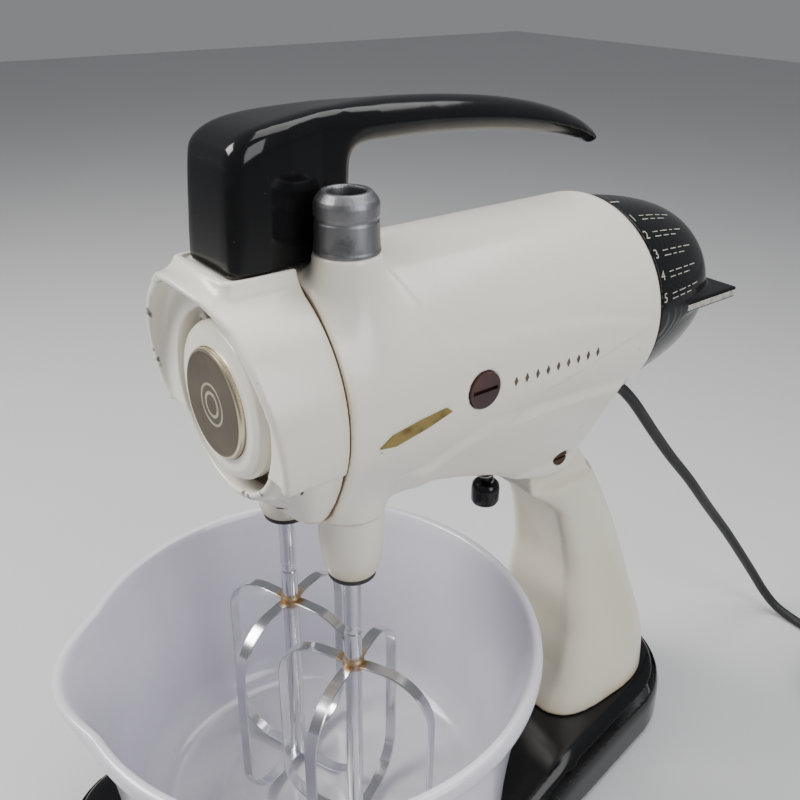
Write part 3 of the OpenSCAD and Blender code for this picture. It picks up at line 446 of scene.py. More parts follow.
def base_field(x, y, z):
    plan = base_plan(x, y)
    top = 28 + 10 * ramp(y, 68, 140)
    flare = np.interp(z, [3, 30], [1.2, 0])
    d = smax(plan - flare + 1.2, z - top, 16)
    inner = np.maximum(plan + 4, z - top + 4)
    posts = np.full(np.broadcast(x, y).shape, 99.0)
    for px, py, pr in FOOT_PLACES + ((0, 172, 9), (0, 222, 9), (0, -5, 10)):
        posts = np.minimum(posts, np.sqrt((x - px) ** 2 + (y - py) ** 2) - pr)
    inner = np.maximum(inner, -np.maximum(posts, 5 - z))
    d = np.maximum(d, -inner)
    holes = np.minimum(np.sqrt(x * x + (y - 172) ** 2), np.sqrt(x * x + (y - 222) ** 2)) - 3
    holes = np.minimum(holes, np.maximum(np.sqrt(x * x + (y - 172) ** 2) - 8, z - 17))
    holes = np.minimum(holes, np.maximum(np.sqrt(x * x + (y - 222) ** 2) - 8, z - 17))
    d = np.maximum(d, -holes)
    return np.maximum(d, 3 - z)


FOOT_PLACES = ((80, -95, 6), (-80, -95, 6), (34, 227, 6), (-34, 227, 6))
COLUMN = eased(np.array([
    [38, 197, 49, 54], [41, 198, 48.2, 52.6], [46, 199.2, 47.2, 51.2], [55, 202, 46, 49],
        [72, 203, 43, 44.5], [92, 201.5, 38.5, 38.5],
    [115, 196, 34.5, 34.5], [140, 191.5, 31, 29], [165, 183, 28.2, 26], [188, 173.5, 26, 23.5],
        [199, 164.5, 25.8, 26],
    [208, 156.5, 25.6, 29], [225, 142, 25.4, 35]]))
TONGUE = arc(141, 232, 18, 10, 200, 20) + [(128, 208), (157, 188), (184, 188), (172, 216)]


def column_field(x, y, z):
    yc, a, b = [np.interp(z, COLUMN[:, 0], COLUMN[:, i]) for i in (1, 2, 3)]
    square = ((np.abs(x / a) ** 3.8 + np.abs((y - yc) / b) ** 3.8) ** (1 / 3.8) - 1)
    oval = ((np.abs(x / a) ** 2.5 + np.abs((y - yc) / b) ** 2.5) ** (1 / 2.5) - 1)
    d = (oval + (square - oval) * ramp(yc - y, 0, 12)) * np.minimum(a, b) * 0.95
    front = yc - 0.97 * b + np.interp(z, [38, 65, 205], [0.5, 5, 4]) * (1 - (x / (0.84 * a)) ** 2)
    d = smax(d, front - y, 2)
    d = smax(d, z - 209, 3)
    tongue = smax(outline(y, z, TONGUE), np.abs(x) - 21, 1)
    d = smin(d, tongue, 4)
    d = np.maximum(d, -(np.sqrt((y - HINGE_Y) ** 2 + (z - HINGE_Z) ** 2) - 4.06))
    bolts = np.minimum(np.sqrt(x * x + (y - 172) ** 2), np.sqrt(x * x + (y - 222) ** 2)) - 3
    d = np.maximum(d, -np.maximum(bolts, z - 60))
    return np.maximum(d, 38.05 - z)


def dial_radius(t):
    return 53 * np.clip(1 - np.clip(t, 0, 1) ** 1.2, 0, 1) ** 0.2


def dial_field(x, y, z):
    h = z - HEAD
    r = np.sqrt(x * x + h * h)
    t = (y - 176) / 70.5
    # distance is measured along the radius near the rim and along the axis near the flat end
    radial = r - dial_radius(t)
    reach = 70.5 * np.clip(1 - np.clip(r / 53, 0, 1) ** 5, 0, 1) ** (1 / 1.2)
    d = np.maximum(radial * 0.9, y - 246.5)
    d = smax(d, y - 176 - reach, 2)
    bar = smax(np.abs(x) - 49.2, np.abs(h) - 3, 1)
    bar = smax(bar, y - 248, 1.5)
    bar = np.maximum(bar, 190 - y)
    d = smin(d, bar, 3)
    inside = np.maximum(r - dial_radius((y - 173) / 70.5) + 3, y - 242)
    inside = np.maximum(inside, -(r - 8))
    hub = np.maximum(r - 4.1, y - 233.8)
    d = np.maximum(d, -inside)
    d = np.maximum(d, -hub)
    return smax(d, 176.5 - y, 0.8)


# ------------------------------------------------------------------ the bowl and the beaters

BOWL_AXIS = (0.0, -5.0)
SPOUT = math.radians(248.7)
SPOUT_HALF = math.radians(23)
SPOUT_OUT = 10.2


def bowl_profile():
    outer = arc(79.5, 69.5, 24, -90, -4, 12)
    outside = [(0, 44), (56, 44), (57, 42.6), (59.5, 42.5), (62, 42.7), (62.7, 45.2),
        (66, 45.6)] + outer[1:]
    outside += [(104.1, 87), (105.2, 103), (106.6, 118), (108.6, 134), (110.6, 146), (112.4, 154),
        (113.6, 158.2)]
    band = rounded([(113.6, 158.2), (116.6, 160), (117.5, 164.5), (116.9, 169), (114.5, 170.2),
        (112.2, 169.6), (110.7, 166.5)], 1.6, 4)
    inside = [(108.8, 158), (106.2, 148), (103.8, 134), (101.8, 118), (100.2, 100), (99.3, 84), (98.8, 72)]
    inner = arc(79.2, 69.4, 19.3, 0, -90, 12)
    return outside + band[1:] + inside + inner + [(66, 48.6), (58, 47.4), (54, 47.05), (30, 47), (0, 47)]


def make_bowl():
    profile = bowl_profile()
    n = len(profile)
    sides = 240
    points = []
    for k in range(sides):
        a = 2 * math.pi * k / sides
        away = (a - SPOUT + math.pi) % (2 * math.pi) - math.pi
        lip = max(0.0, 1 - (abs(away) / SPOUT_HALF) ** 2)
        lip = lip ** 1.6
        for r, z in profile:
            up = min(max((z - 128) / 42, 0), 1) ** 2.2 if r > 80 else 0
            dip = 1.2 * lip * min(max((z - 160) / 10, 0), 1)
            reach = r + SPOUT_OUT * lip * up
            points.append((BOWL_AXIS[0] + reach * math.cos(a), BOWL_AXIS[1] + reach * math.sin(a), z - dip))
    faces = []
    for k in range(sides):
        m = (k + 1) % sides
        for i in range(n - 1):
            faces.append((k * n + i, m * n + i, m * n + i + 1, k * n + i + 1))
    obj = build("bowl", points, faces)
    weld(obj)
    return obj


def strip(path, width, thick, spread):
    """A flat strip along a path of (radius, z): its cross section has rounded edges."""
    w = width / 2
    t = thick / 2
    section = [(-w, -t * 0.4), (-w + 0.4, -t), (w - 0.4, -t), (w, -t * 0.4), (w, t * 0.4), (w - 0.4, t),
        (-w + 0.4, t), (-w, t * 0.4)]
    n = len(path)
    m = len(section)
    points = []
    for i in range(n):
        p = Vector(path[max(i - 1, 0)])
        q = Vector(path[min(i + 1, n - 1)])
        along = (q - p).normalized()
        out = Vector((along.y, -along.x))
        for s, o in section:
            points.append((path[i][0] + out.x * o, s * spread(i / (n - 1)), path[i][1] + out.y * o))
    faces = []
    for i in range(n - 1):
        for k in range(m):
            j = (k + 1) % m
            faces.append((i * m + k, i * m + j, (i + 1) * m + j, (i + 1) * m + k))
    faces.append(list(range(m))[::-1])
    faces.append([(n - 1) * m + k for k in range(m)])
    return points, faces


BLADE_TOP = 167.0
BLADE_LOW = 52.2
BLADE_R = 43.0


def blade_path():
    top = [(3.5, BLADE_TOP - 0.8), (8, BLADE_TOP)]
    shoulder = arc(BLADE_R - 26, BLADE_TOP - 26, 26, 90, 0, 14)
    bend = arc(BLADE_R - 22, BLADE_LOW + 22, 22, 0, -90, 12)
    low = [(8, BLADE_LOW), (3.5, BLADE_LOW + 0.3)]
    side = [(BLADE_R, 141 - (141 - 74.2) * k / 6) for k in range(1, 6)]
    return top + shoulder + side + bend + low


def make_beater(name, x, angle):
    points = []
    faces = []

    def add(piece, turn):
        start = len(points)
        c = math.cos(turn)
        s = math.sin(turn)
        for px, py, pz in piece[0]:
            points.append((x + px * c - py * s, px * s + py * c, pz))
        faces.extend([[start + i for i in f] for f in piece[1]])

    for k in range(4):
        add(strip(blade_path(), 6.2, 1.3, lambda t: 1.0), math.radians(angle + 90 * k))
    shaft = rounded([(0, 50.6), (3, 50.6), (4.3, 52), (4.3, 160), (4.3, 163.2), (5.4, 164), (5.4, 168.6),
        (4.3, 170),
                     (4.3, 186), (3.7, 187), (3.7, 190), (4.3, 191), (4.3, 314), (0, 314)], 0.5, 3)
    add(lathe(shaft, sides=32), 0)
    obj = build(name, points, faces)
    weld(obj)
    sharpen(obj, 40)
    return obj


# ------------------------------------------------------------------ finishes

class Value:
    """A shader socket that takes part in ordinary arithmetic."""

    def __init__(self, graph, socket):
        self.graph = graph
        self.socket = socket

    def _math(self, operation, *others):
        return self.graph.node("ShaderNodeMath", (self,) + others, operation=operation)

    def __add__(self, other):
        return self._math("ADD", other)

    __radd__ = __add__

    def __mul__(self, other):
        return self._math("MULTIPLY", other)

    __rmul__ = __mul__

    def __sub__(self, other):
        return self._math("SUBTRACT", other)

    def __rsub__(self, other):
        return self.graph.node("ShaderNodeMath", (other, self), operation="SUBTRACT")

    def __truediv__(self, other):
        return self._math("DIVIDE", other)

    def __abs__(self):
        return self._math("ABSOLUTE")

    def most(self, other):
        return self._math("MAXIMUM", other)

    def power(self, other):
        return self._math("POWER", other)

    def sine(self):
        return self._math("SINE")

    def fade(self, low, high):
        """0 at low, 1 at high, smooth between."""
        return self.graph.node("ShaderNodeMapRange", (self, low, high), interpolation_type="SMOOTHSTEP")


class Graph:
    def __init__(self, name):
        self.material = bpy.data.materials.new(name)
        self.material.use_nodes = True
        self.nodes = self.material.node_tree.nodes
        self.links = self.material.node_tree.links
        self.shader = self.nodes["Principled BSDF"]
        place = self.node("ShaderNodeTexCoord", (), output="Object")
        self.place = place
        apart = self.nodes.new("ShaderNodeSeparateXYZ")
        self.links.new(place.socket, apart.inputs[0])
        self.x, self.y, self.z = [Value(self, s) * 1000.0 for s in apart.outputs]

    def node(self, kind, inputs, output=0, **settings):
        made = self.nodes.new(kind)
        for key, value in settings.items():
            setattr(made, key, value)
        items = inputs.items() if isinstance(inputs, dict) else enumerate(inputs)
        for key, value in items:
            if isinstance(value, Value):
                self.links.new(value.socket, made.inputs[key])
            elif value is not None:
                made.inputs[key].default_value = value
        return Value(self, made.outputs[output])

    def noise(self, scale, detail=4.0, rough=0.55, stretch=None):
        where = self.place
        if stretch:
            where = self.node("ShaderNodeVectorMath", (self.place, stretch), operation="MULTIPLY")
        return self.node("ShaderNodeTexNoise", {"Vector": where, "Scale": scale, "Detail": detail,
            "Roughness": rough})

    def cells(self, scale):
        return self.node("ShaderNodeTexVoronoi", {"Vector": self.place, "Scale": scale})

    def mix(self, factor, a, b):
        made = self.nodes.new("ShaderNodeMix")
        made.data_type = "RGBA"
        for index, value in ((0, factor), (6, a), (7, b)):
            if isinstance(value, Value):
                self.links.new(value.socket, made.inputs[index])
            else:
                made.inputs[index].default_value = value if index == 0 else tuple(value) + (1.0,)
        return Value(self, made.outputs[2])

    def bump(self, height, distance, strength=1.0):
        return self.node("ShaderNodeBump", {"Height": height, "Distance": distance, "Strength": strength},
            output="Normal")

    def finish(self, **sockets):
        for key, value in sockets.items():
            socket = self.shader.inputs[key.replace("_", " ")]
            if isinstance(value, Value):
                self.links.new(value.socket, socket)
            elif isinstance(value, tuple) and len(value) == 3 and key != "Subsurface_Radius":
                socket.default_value = value + (1.0,)
            else:
                socket.default_value = value
        return self.material


# The frame's y is the beaters' plane less this, so seams are found from it
SEAM_AT = SEAM - Y_MID


def enamel(name, tint, aged, yellow_low, seams, chips=False, foot=False):
    g = Graph(name)
    cloud = g.noise(9, 3)
    fine = g.noise(140, 3)
    warmer = tuple(c * k for c, k in zip(tint, (0.97, 0.95, 0.9)))
    colour = g.mix(cloud.fade(0.35, 0.75) * 0.35, tint, warmer)
    stain = g.noise(45, 4).fade(0.35, 0.7)
    if seams:
        near = 1 - abs(g.y - SEAM_AT).fade(0.4, 5.0)
        side = (g.z - (HEAD + 35)).fade(30, -25)
        colour = g.mix(near * (0.25 + 0.75 * side) * (0.45 + 0.55 * stain) * 0.6, colour, (0.62, 0.46, 0.2))
        line = 1 - abs(g.y - SEAM_AT).fade(0.25, 0.55)
        above = (g.z - 262).fade(-2, 2)
        colour = g.mix(line * above * 0.85, colour, (0.13, 0.07, 0.03))
    low = 1 - (g.z - yellow_low).fade(0, 14)
    colour = g.mix(low * (0.3 + 0.7 * stain) * 0.75, colour, aged)
    spots = g.cells(95).fade(0.075, 0.045) * g.noise(22, 2).fade(0.6, 0.68)
    colour = g.mix(spots * 0.6, colour, (0.16, 0.12, 0.09))
    if foot:
        rust = 1 - (g.z - yellow_low).fade(2.6, 4.4)
        colour = g.mix(rust * (0.4 + 0.6 * stain), colour, (0.2, 0.11, 0.05))
    if chips:
        h = g.z - HEAD
        edge = 1 - abs(g.y + (Y_MID + 48.2) + h * 0.137).fade(0.5, 1.4)
        lost = edge * g.noise(75, 3).fade(0.6, 0.64)
        colour = g.mix(lost * 0.9, colour, (0.07, 0.06, 0.05))
    rough = 0.2 + 0.14 * fine + 0.08 * cloud
    ripple = g.noise(26, 2)
    return g.finish(Base_Color=colour, Roughness=rough, Normal=g.bump(ripple + 0.12 * fine, 0.00012),
        Coat_Weight=0.35, Coat_Roughness=0.12)


def black_gloss(name, tint=(0.006, 0.006, 0.0065), dust=0.5):
    g = Graph(name)
    specks = g.cells(260).fade(0.06, 0.02) * g.noise(30, 3).fade(0.5, 0.62)
    haze = g.noise(14, 5)
    colour = g.mix(specks * dust, tint, (0.25, 0.24, 0.22))
    rough = 0.07 + 0.12 * haze.fade(0.35, 0.75) + 0.05 * g.noise(180, 2)
    return g.finish(Base_Color=colour, Roughness=rough, Normal=g.bump(g.noise(35, 2), 0.00006),
        Specular_IOR_Level=0.3)


def metal(name, tint, rough, grain=0.0, stretch=None, stain=None, amount=0.0):
    g = Graph(name)
    cloud = g.noise(30, 4)
    lines = g.noise(400, 2, stretch=stretch or (1, 1, 1))
    colour = g.mix(cloud.fade(0.3, 0.8) * 0.4, tint, tuple(c * 0.78 for c in tint))
    if stain:
        colour = g.mix(g.noise(60, 5).fade(0.55, 0.72) * amount, colour, stain)
    shade = rough + 0.12 * cloud + 0.1 * lines
    return g.finish(Base_Color=colour, Metallic=1.0, Roughness=shade,
        Normal=g.bump(lines * grain + cloud * 0.3, 0.00008))


def chrome(name):
    """Plated blades with brown braze where the strips meet the shaft."""
    g = Graph(name)
    cloud = g.noise(40, 4)
    colour = g.mix(cloud.fade(0.4, 0.8) * 0.4, (0.72, 0.73, 0.75), (0.5, 0.5, 0.5))
    middle = abs(abs(g.x) - BEATER_X)
    away = (middle * middle + (g.y + Y_MID) * (g.y + Y_MID)).power(0.5)
    top = 1 - abs(g.z - 167).fade(2.5, 6.5)
    braze = top * (1 - away.fade(6.5, 11)) * g.noise(120, 3).fade(0.25, 0.5)
    colour = g.mix(braze * 0.85, colour, (0.33, 0.2, 0.06))
    rough = 0.1 + 0.16 * cloud + braze * 0.3
    return g.finish(Base_Color=colour, Metallic=1.0, Roughness=rough, Normal=g.bump(g.noise(90, 2), 0.0001))


def milk_glass(name):
    g = Graph(name)
    cloud = g.noise(8, 3)
    colour = g.mix(cloud, (0.63, 0.615, 0.69), (0.69, 0.68, 0.735))
    scuff = g.noise(210, 2, stretch=(1, 1, 6)).fade(0.6, 0.8)
    rough = 0.1 + 0.1 * scuff + 0.06 * cloud
    return g.finish(Base_Color=colour, Roughness=rough, Subsurface_Weight=0.35,
        Subsurface_Radius=(0.02, 0.018, 0.024),
                    Subsurface_Scale=0.5, Coat_Weight=0.25, Coat_Roughness=0.05,
                        Normal=g.bump(g.noise(12, 2), 0.0002))


def plain(name, tint, rough, second=None, scale=60, depth=0.0001, metallic=0.0):
    g = Graph(name)
    cloud = g.noise(scale, 4)
    second = second or tuple(c * 0.7 for c in tint)
    colour = g.mix(cloud.fade(0.35, 0.7), tint, second)
    fine = g.noise(scale * 6, 2)
    return g.finish(Base_Color=colour, Metallic=metallic, Roughness=rough + 0.15 * cloud,
        Normal=g.bump(cloud + 0.4 * fine, depth))


def wound(name, tint, pitch, axis):
    """Rows of wire or thin plates across an axis."""
    g = Graph(name)
    rows = (getattr(g, axis) * (2 * math.pi / pitch)).sine() * 0.5 + 0.5
    # the colour darkens where the rows dip: painted shade in the troughs between the turns and plates
    colour = g.mix(rows * 0.6 + g.noise(80, 3) * 0.3, tuple(c * 0.45 for c in tint), tint)
    return g.finish(Base_Color=colour, Metallic=0.8, Roughness=0.38 + 0.2 * g.noise(120, 2),
        Normal=g.bump(rows, 0.0003))


def bronze_disc(name):
    g = Graph(name)
    h = g.z - HEAD
    r = (g.x * g.x + h * h).power(0.5)
    turned_lines = (r * 9.0).sine() * 0.5 + 0.5
    cloud = g.noise(60, 4)
    colour = g.mix(cloud.fade(0.3, 0.7), (0.075, 0.06, 0.04), (0.13, 0.1, 0.065))
    edge = r.fade(22.2, 23.2)
    colour = g.mix(edge, colour, (0.62, 0.55, 0.4))
    rings = (1 - abs(r - 5.2).fade(0.5, 1.0)).most(1 - abs(r - 9.0).fade(0.35, 0.8))
    colour = g.mix(rings, colour, (0.5, 0.45, 0.33))
    rough = 0.34 - 0.12 * edge + 0.1 * cloud
    return g.finish(Base_Color=colour, Metallic=1.0, Roughness=rough,
        Normal=g.bump(turned_lines * 0.3 + rings * 2.0, 0.00012))


def cord_rubber(name):
    g = Graph(name)
    cloud = g.noise(70, 4)
    dusty = g.noise(18, 4).fade(0.5, 0.75)
    colour = g.mix(dusty * 0.5, (0.012, 0.012, 0.013), (0.05, 0.048, 0.045))
    weave = cloud + g.noise(500, 2) * 0.4
    return g.finish(Base_Color=colour, Roughness=0.42 + 0.2 * cloud, Normal=g.bump(weave, 0.0001))


MATERIALS = {
    "head": enamel("cream enamel", (0.80, 0.765, 0.68), (0.6, 0.46, 0.22), 214, True),
    "cover": enamel("front enamel", (0.80, 0.765, 0.68), (0.6, 0.46, 0.22), 258, True, chips=True),
    "sleeve": enamel("sleeve enamel", (0.79, 0.745, 0.64), (0.55, 0.42, 0.2), 225, False),
    "column": enamel("column enamel", (0.78, 0.725, 0.585), (0.5, 0.34, 0.14), 36, False, foot=True),
    "black": black_gloss("black resin"),
    "base": black_gloss("black enamel", (0.007, 0.007, 0.008), 0.35),
    "caps": plain("brush cap resin", (0.055, 0.014, 0.012), 0.22, (0.02, 0.006, 0.006), 50),
    "chrome": chrome("blade plating"),
    "steel": metal("ground steel", (0.5, 0.51, 0.52), 0.22, 1.0, (1, 1, 0.05)),
    "aged": metal("aged screw", (0.13, 0.085, 0.06), 0.42, 0.8, None, (0.05, 0.03, 0.02), 0.7),
    "zinc": metal("plated steel", (0.46, 0.46, 0.46), 0.34, 0.6, None, (0.2, 0.15, 0.1), 0.5),
    "diecast": metal("worn die casting", (0.25, 0.25, 0.262), 0.36, 2.5, (1, 1, 0.12), (0.09, 0.09, 0.09),
        0.8),
    "bronze": metal("bearing bronze", (0.55, 0.36, 0.15), 0.3, 0.8),
    "brass": metal("holder brass", (0.62, 0.45, 0.2), 0.26, 0.8),
    "gilt": metal("dull gilt", (0.33, 0.25, 0.09), 0.32, 1.0, None, (0.07, 0.05, 0.02), 0.7),
    "ink": plain("brown lettering paint", (0.07, 0.045, 0.03), 0.5, (0.12, 0.08, 0.05), 300),
    "copper": wound("wound copper", (0.52, 0.22, 0.09), 0.9, "y"),
    "plates": wound("stacked plates", (0.3, 0.3, 0.31), 0.8, "y"),
    "carbon": plain("carbon", (0.03, 0.03, 0.03), 0.6, (0.06, 0.06, 0.06), 200),
    "rubber": plain("black rubber", (0.016, 0.016, 0.016), 0.6, (0.035, 0.034, 0.033), 90),
    "fibre": plain("glide fibre", (0.5, 0.46, 0.37), 0.6, (0.4, 0.35, 0.27), 110),
    "board": plain("brown board", (0.13, 0.075, 0.04), 0.5, (0.08, 0.045, 0.025), 90),
    "card": plain("waxed card", (0.55, 0.45, 0.25), 0.45, (0.43, 0.33, 0.17), 70),
    "glass": milk_glass("milk glass"),
    "medallion": bronze_disc("turned medallion"),
    "cord": cord_rubber("cord sheath"),
    "white": plain("dial figures", (0.5, 0.48, 0.42), 0.5, (0.3, 0.29, 0.25), 260),
}


def paint(obj, key):
    obj.data.materials.clear()
    obj.data.materials.append(MATERIALS[key])
    return obj


def place(obj, key, body, slot, nodes=()):
    paint(obj, key)
    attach(obj, body)
    if nodes:
        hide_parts(*nodes)
    return obj


# ------------------------------------------------------------------ cord

ROUTE = [
    (6, 193, 251), (6.1, 199, 250.6), (6.4, 206, 249), (7.2, 213, 245), (8.2, 220, 238.5),
        (9.4, 228, 229.5), (10.8, 238, 217), (12.4, 250, 202),
    (14, 269, 180), (16, 293, 154), (19, 318, 124), (23, 345, 92), (27, 366, 65), (32, 384, 40),
        (39, 396, 20), (48, 402, 8.5),
    (60, 404, 4.2), (74, 404, 3.6), (90, 405, 3.6), (104, 407, 3.6), (118, 411.5, 3.6), (132, 418.6, 3.6),
]
COIL = (155.0, 372.0)
CORD_R = 3.5


def coil_points():
    """Two layers of three turns: inwards on the table, then outwards on top."""
    points = []
    start = math.degrees(math.atan2(418.6 - COIL[1], 132 - COIL[0]))
    turn = 26.3 + 360 * 6
    steps = 260
    for i in range(1, steps + 1):
        gone = turn * i / steps
        a = math.radians(start - gone)
        half = turn / 2
        inward = gone if gone < half else turn - gone
        r = 48.0 - 7.2 * inward / 360 + 4.0 * max(0.0, 1 - gone / 50) ** 2
        lift = min(max((gone - half + 70) / 140, 0), 1)
        z = 3.6 + 7.3 * lift * lift * (3 - 2 * lift)
        points.append((COIL[0] + r * math.cos(a), COIL[1] + r * math.sin(a), z))
    return points


def to_row(p):
    return (p[0] * 0.001, (p[1] - Y_MID) * 0.001, p[2] * 0.001)


def make_cord():
    route = [tuple(p) for p in smooth_path(ROUTE, 6)] + coil_points()
    x, y, z = route[-1]
    route += [(x + 6, y - 0.6, z - 0.6), (x + 13, y - 1.6, z - 1.6), (x + 20, y - 2.2, z - 2.3)]
    points, faces = tube_mesh(route, CORD_R, 16)
    cord = build("power cord", points, faces)
    length = sum((Vector(b) - Vector(a)).length for a, b in zip(route, route[1:])) / 1000
    paint(cord, "cord")
    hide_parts("cord_run", "cord_coil")
    to_row(ROUTE[0])
    to_row(ROUTE[10])
    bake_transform(cord)
    return cord, route, length


def make_plug(end):
    points = []
    faces = []

    def add(piece):
        start = len(points)
        points.extend([tuple(p) for p in piece[0]])
        faces.extend([[start + i for i in f] for f in piece[1]])

    x0 = 185.0
    y0 = 417.0
    body = [(0, 0), (4.2, 0), (4.6, 2), (5.6, 16), (7.5, 19)]
    add(lathe(body + [(0, 19)], (167, y0, 8), "x", 24))
    obj = build("plug relief", points, faces)
    weld(obj)
    def body_field(x, y, z):
        plan = smax(np.abs(x - x0 - 14) - 14.5, np.abs(y - y0) - 10 + 0.1 * (x - x0) * 0.6, 4)
        return smax(plan, np.abs(z - 8) - 7.9, 5)

    def prong_field(x, y, z):
        blades = smax(np.abs(np.abs(y - y0) - 6.35) - 3.1, np.abs(z - 8) - 0.75, 0.6)
        return smax(blades, np.abs(x - x0 - 36) - 9, 1)

    block = cast("plug body", body_field, (x0 - 2, y0 - 12, 0), (x0 + 30, y0 + 12, 16), 0.8)
    prongs = cast("plug prongs", prong_field, (x0 + 26, y0 - 10, 6), (x0 + 46, y0 + 10, 10), 0.4)
    return obj, block, prongs


cord, cord_route, cord_length = make_cord()
relief, plug, prongs = make_plug(cord_route[-1])
for piece in (relief, plug):
    place(piece, "rubber", "stand", "rubber")
place(prongs, "brass", "stand", "brass")
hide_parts("cord_plug")
to_row(ROUTE[0])
[to_row(p) for p in cord_route]


# ------------------------------------------------------------------ castings

housing = cast("motor housing", housing_field, (-59, -19, 224), (59, 177, 378), 1.0, 2)
place(housing, "head", "head", "head enamel", ("motor_housing",))
cover = cast("front casting", cover_field, (-59, -67, 256), (59, -17, 374), 0.8, 3)
place(cover, "cover", "head", "head enamel", ("gearcase_cover",))
handle = cast("handle", handle_field, (-20, -47, 369), (20, 177, 428), 0.9, 6)
place(handle, "black", "handle_body", "black resin", ("handle",))
base = cast("base", base_field, (-113, -128, 2), (113, 272, 40), 1.0, 12)
place(base, "base", "stand", "base enamel", ("base_casting",))
column = cast("column", column_field, (-51, 120, 37), (51, 253, 252), 1.0, 6)
place(column, "column", "stand", "column enamel", ("pedestal",))
dial = cast("speed dial", dial_field, (-54, 175, 257), (54, 249, 367), 0.9, 3)
place(dial, "black", "dial", "black resin", ("speed_dial",))
bowl = make_bowl()
place(bowl, "glass", "turntable", "milk glass", ("mixing_bowl",))
place(make_beater("left beater", -BEATER_X, 20), "chrome", "left_beater_body", "chrome", ("left_beater",))
place(make_beater("right beater", BEATER_X, 26.7), "chrome", "right_beater_body", "chrome",
    ("right_beater",))


def make_sleeves():
    profile = [(7.1, 261), (9, 261), (9, 258), (14.6, 258), (15.3, 257.4), (15.4, 256), (15.3, 250),
        (14.9, 242),
               (14.1, 234), (13.0, 228), (12.0, 225.8), (11.4, 225), (7.1, 225)]
    points = []
    faces = []
    for x in (-BEATER_X, BEATER_X):
        p, f = lathe(profile + [profile[0]], (x, 0, 0), "z", 64)
        start = len(points)
        points += p
        faces += [[start + i for i in q] for q in f]
    obj = build("spindle sleeves", points, faces)
    weld(obj)
    sharpen(obj, 40)
    return obj


place(make_sleeves(), "sleeve", "head", "head enamel", ("spindle_sleeves",))

NOZZLE = rounded([(7.5, 376.4), (13.2, 376.4), (13.25, 377.6), (12.95, 378.2), (12.55, 388.4),
    (12.15, 389.1), (12.15, 389.9),
                  (12.7, 390.6), (12.75, 395), (12.2, 396.8), (10.2, 399.2), (9.6, 399.8), (8.1, 399.8),
                      (7.5, 399), (7.5, 376.4)], 0.45, 3)
nozzle = turned("juicer nozzle", NOZZLE, (BEATER_X, 0, 0), "z", 64)
place(nozzle, "diecast", "head", "zinc casting", ("juicer_nozzle",))

CAP = rounded([(0, -44.8), (24.2, -44.8), (24.2, -46), (29.5, -46), (33, -44.6), (34.5, -42),
    (34.5, -37.5), (31.5, -37.5), (31.5, -42),
               (8, -42), (8, -37.5), (5, -37.5), (5, -30), (0, -30)], 0.6, 4)
cap = turned("front cap", CAP, (0, 0, HEAD), "y", 96)
sharpen(cap, 50)
place(cap, "head", "head", "head enamel", ("front_cap",))
DISC = [(0, -48.3), (21.8, -48.3), (22.4, -48.35), (23.6, -47.8), (24, -46.9), (24, -44.9), (0, -44.9)]
disc = turned("medallion", DISC, (0, 0, HEAD), "y", 96)
sharpen(disc, 30)
place(disc, "medallion", "head", "dark bronze", ("medallion",))


def make_spring(name, x, y, low, high, r, wire, turns):
    path = []
    steps = int(turns * 20)
    for i in range(steps + 1):
        a = 2 * math.pi * i / 20
        path.append((x + r * math.cos(a), y + r * math.sin(a),
            low + wire + (high - low - 2 * wire) * i / steps))
    points, faces = tube_mesh(path, wire, 8)
    return build(name, points, faces)


tilt_spring = make_spring("tilt button spring", 0, 112, 214.2, 237.8, 4.2, 0.5, 5)
place(tilt_spring, "steel", "head", "steel", ("tilt_spring",))
to_row((0, 112, 238))
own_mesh(tilt_spring)

button = turned("tilt button", [(0, 200), (5.2, 200), (7.2, 200.7), (8, 202.6), (8, 209.5), (7.4, 212.6),
    (6, 213.9), (3, 214), (3, 243.9),
                                (5, 244), (5, 246), (0, 246)], (0, 112, 0), "z", 48)
sharpen(button, 40)
place(button, "black", "tilt_latch", "black resin", ("tilt_button",))

GROMMET = rounded([(3.5, 164), (4, 164), (4, 172), (6.1, 172), (5.9, 174), (4.5, 192), (4.2, 193),
    (3.5, 193), (3.5, 164)], 0.5, 3)
grommet = turned("cord grommet", GROMMET, (6, 0, 251), "y", 32)
place(grommet, "rubber", "head", "rubber", ("cord_grommet",))


# ------------------------------------------------------------------ dial figures

def on_dial(u, v, angle, at_y, lift=0.12):
    """u runs towards the back of the dial and v round it, both in millimetres."""
    y = at_y + u
    r = float(dial_radius((y - 176) / 70.5)) + lift
    a = math.radians(angle) + v / r
    return (r * math.cos(a), y, HEAD + r * math.sin(a))


def figure(text, angle, at_y, size):
    curve = bpy.data.curves.new("figure", "FONT")
    curve.body = text
    curve.size = size
    curve.align_y = "CENTER"
    curve.resolution_u = 3
    holder = link("figure", curve)
    mesh = bpy.data.meshes.new_from_object(holder)
    flat = [tuple(v.co) for v in mesh.vertices]
    faces = [list(p.vertices) for p in mesh.polygons]
    bpy.data.objects.remove(holder)
    return [on_dial(u, v, angle, at_y) for u, v, w in flat], faces


def dash(angle, at_y, length, offset, width=0.55):
    spots = []
    n = 4
    for i in range(n + 1):
        for v in (-width / 2, width / 2):
            spots.append(on_dial(length * i / n, v + offset, angle, at_y))
    return spots, [(2 * i, 2 * i + 2, 2 * i + 3, 2 * i + 1) for i in range(n)]


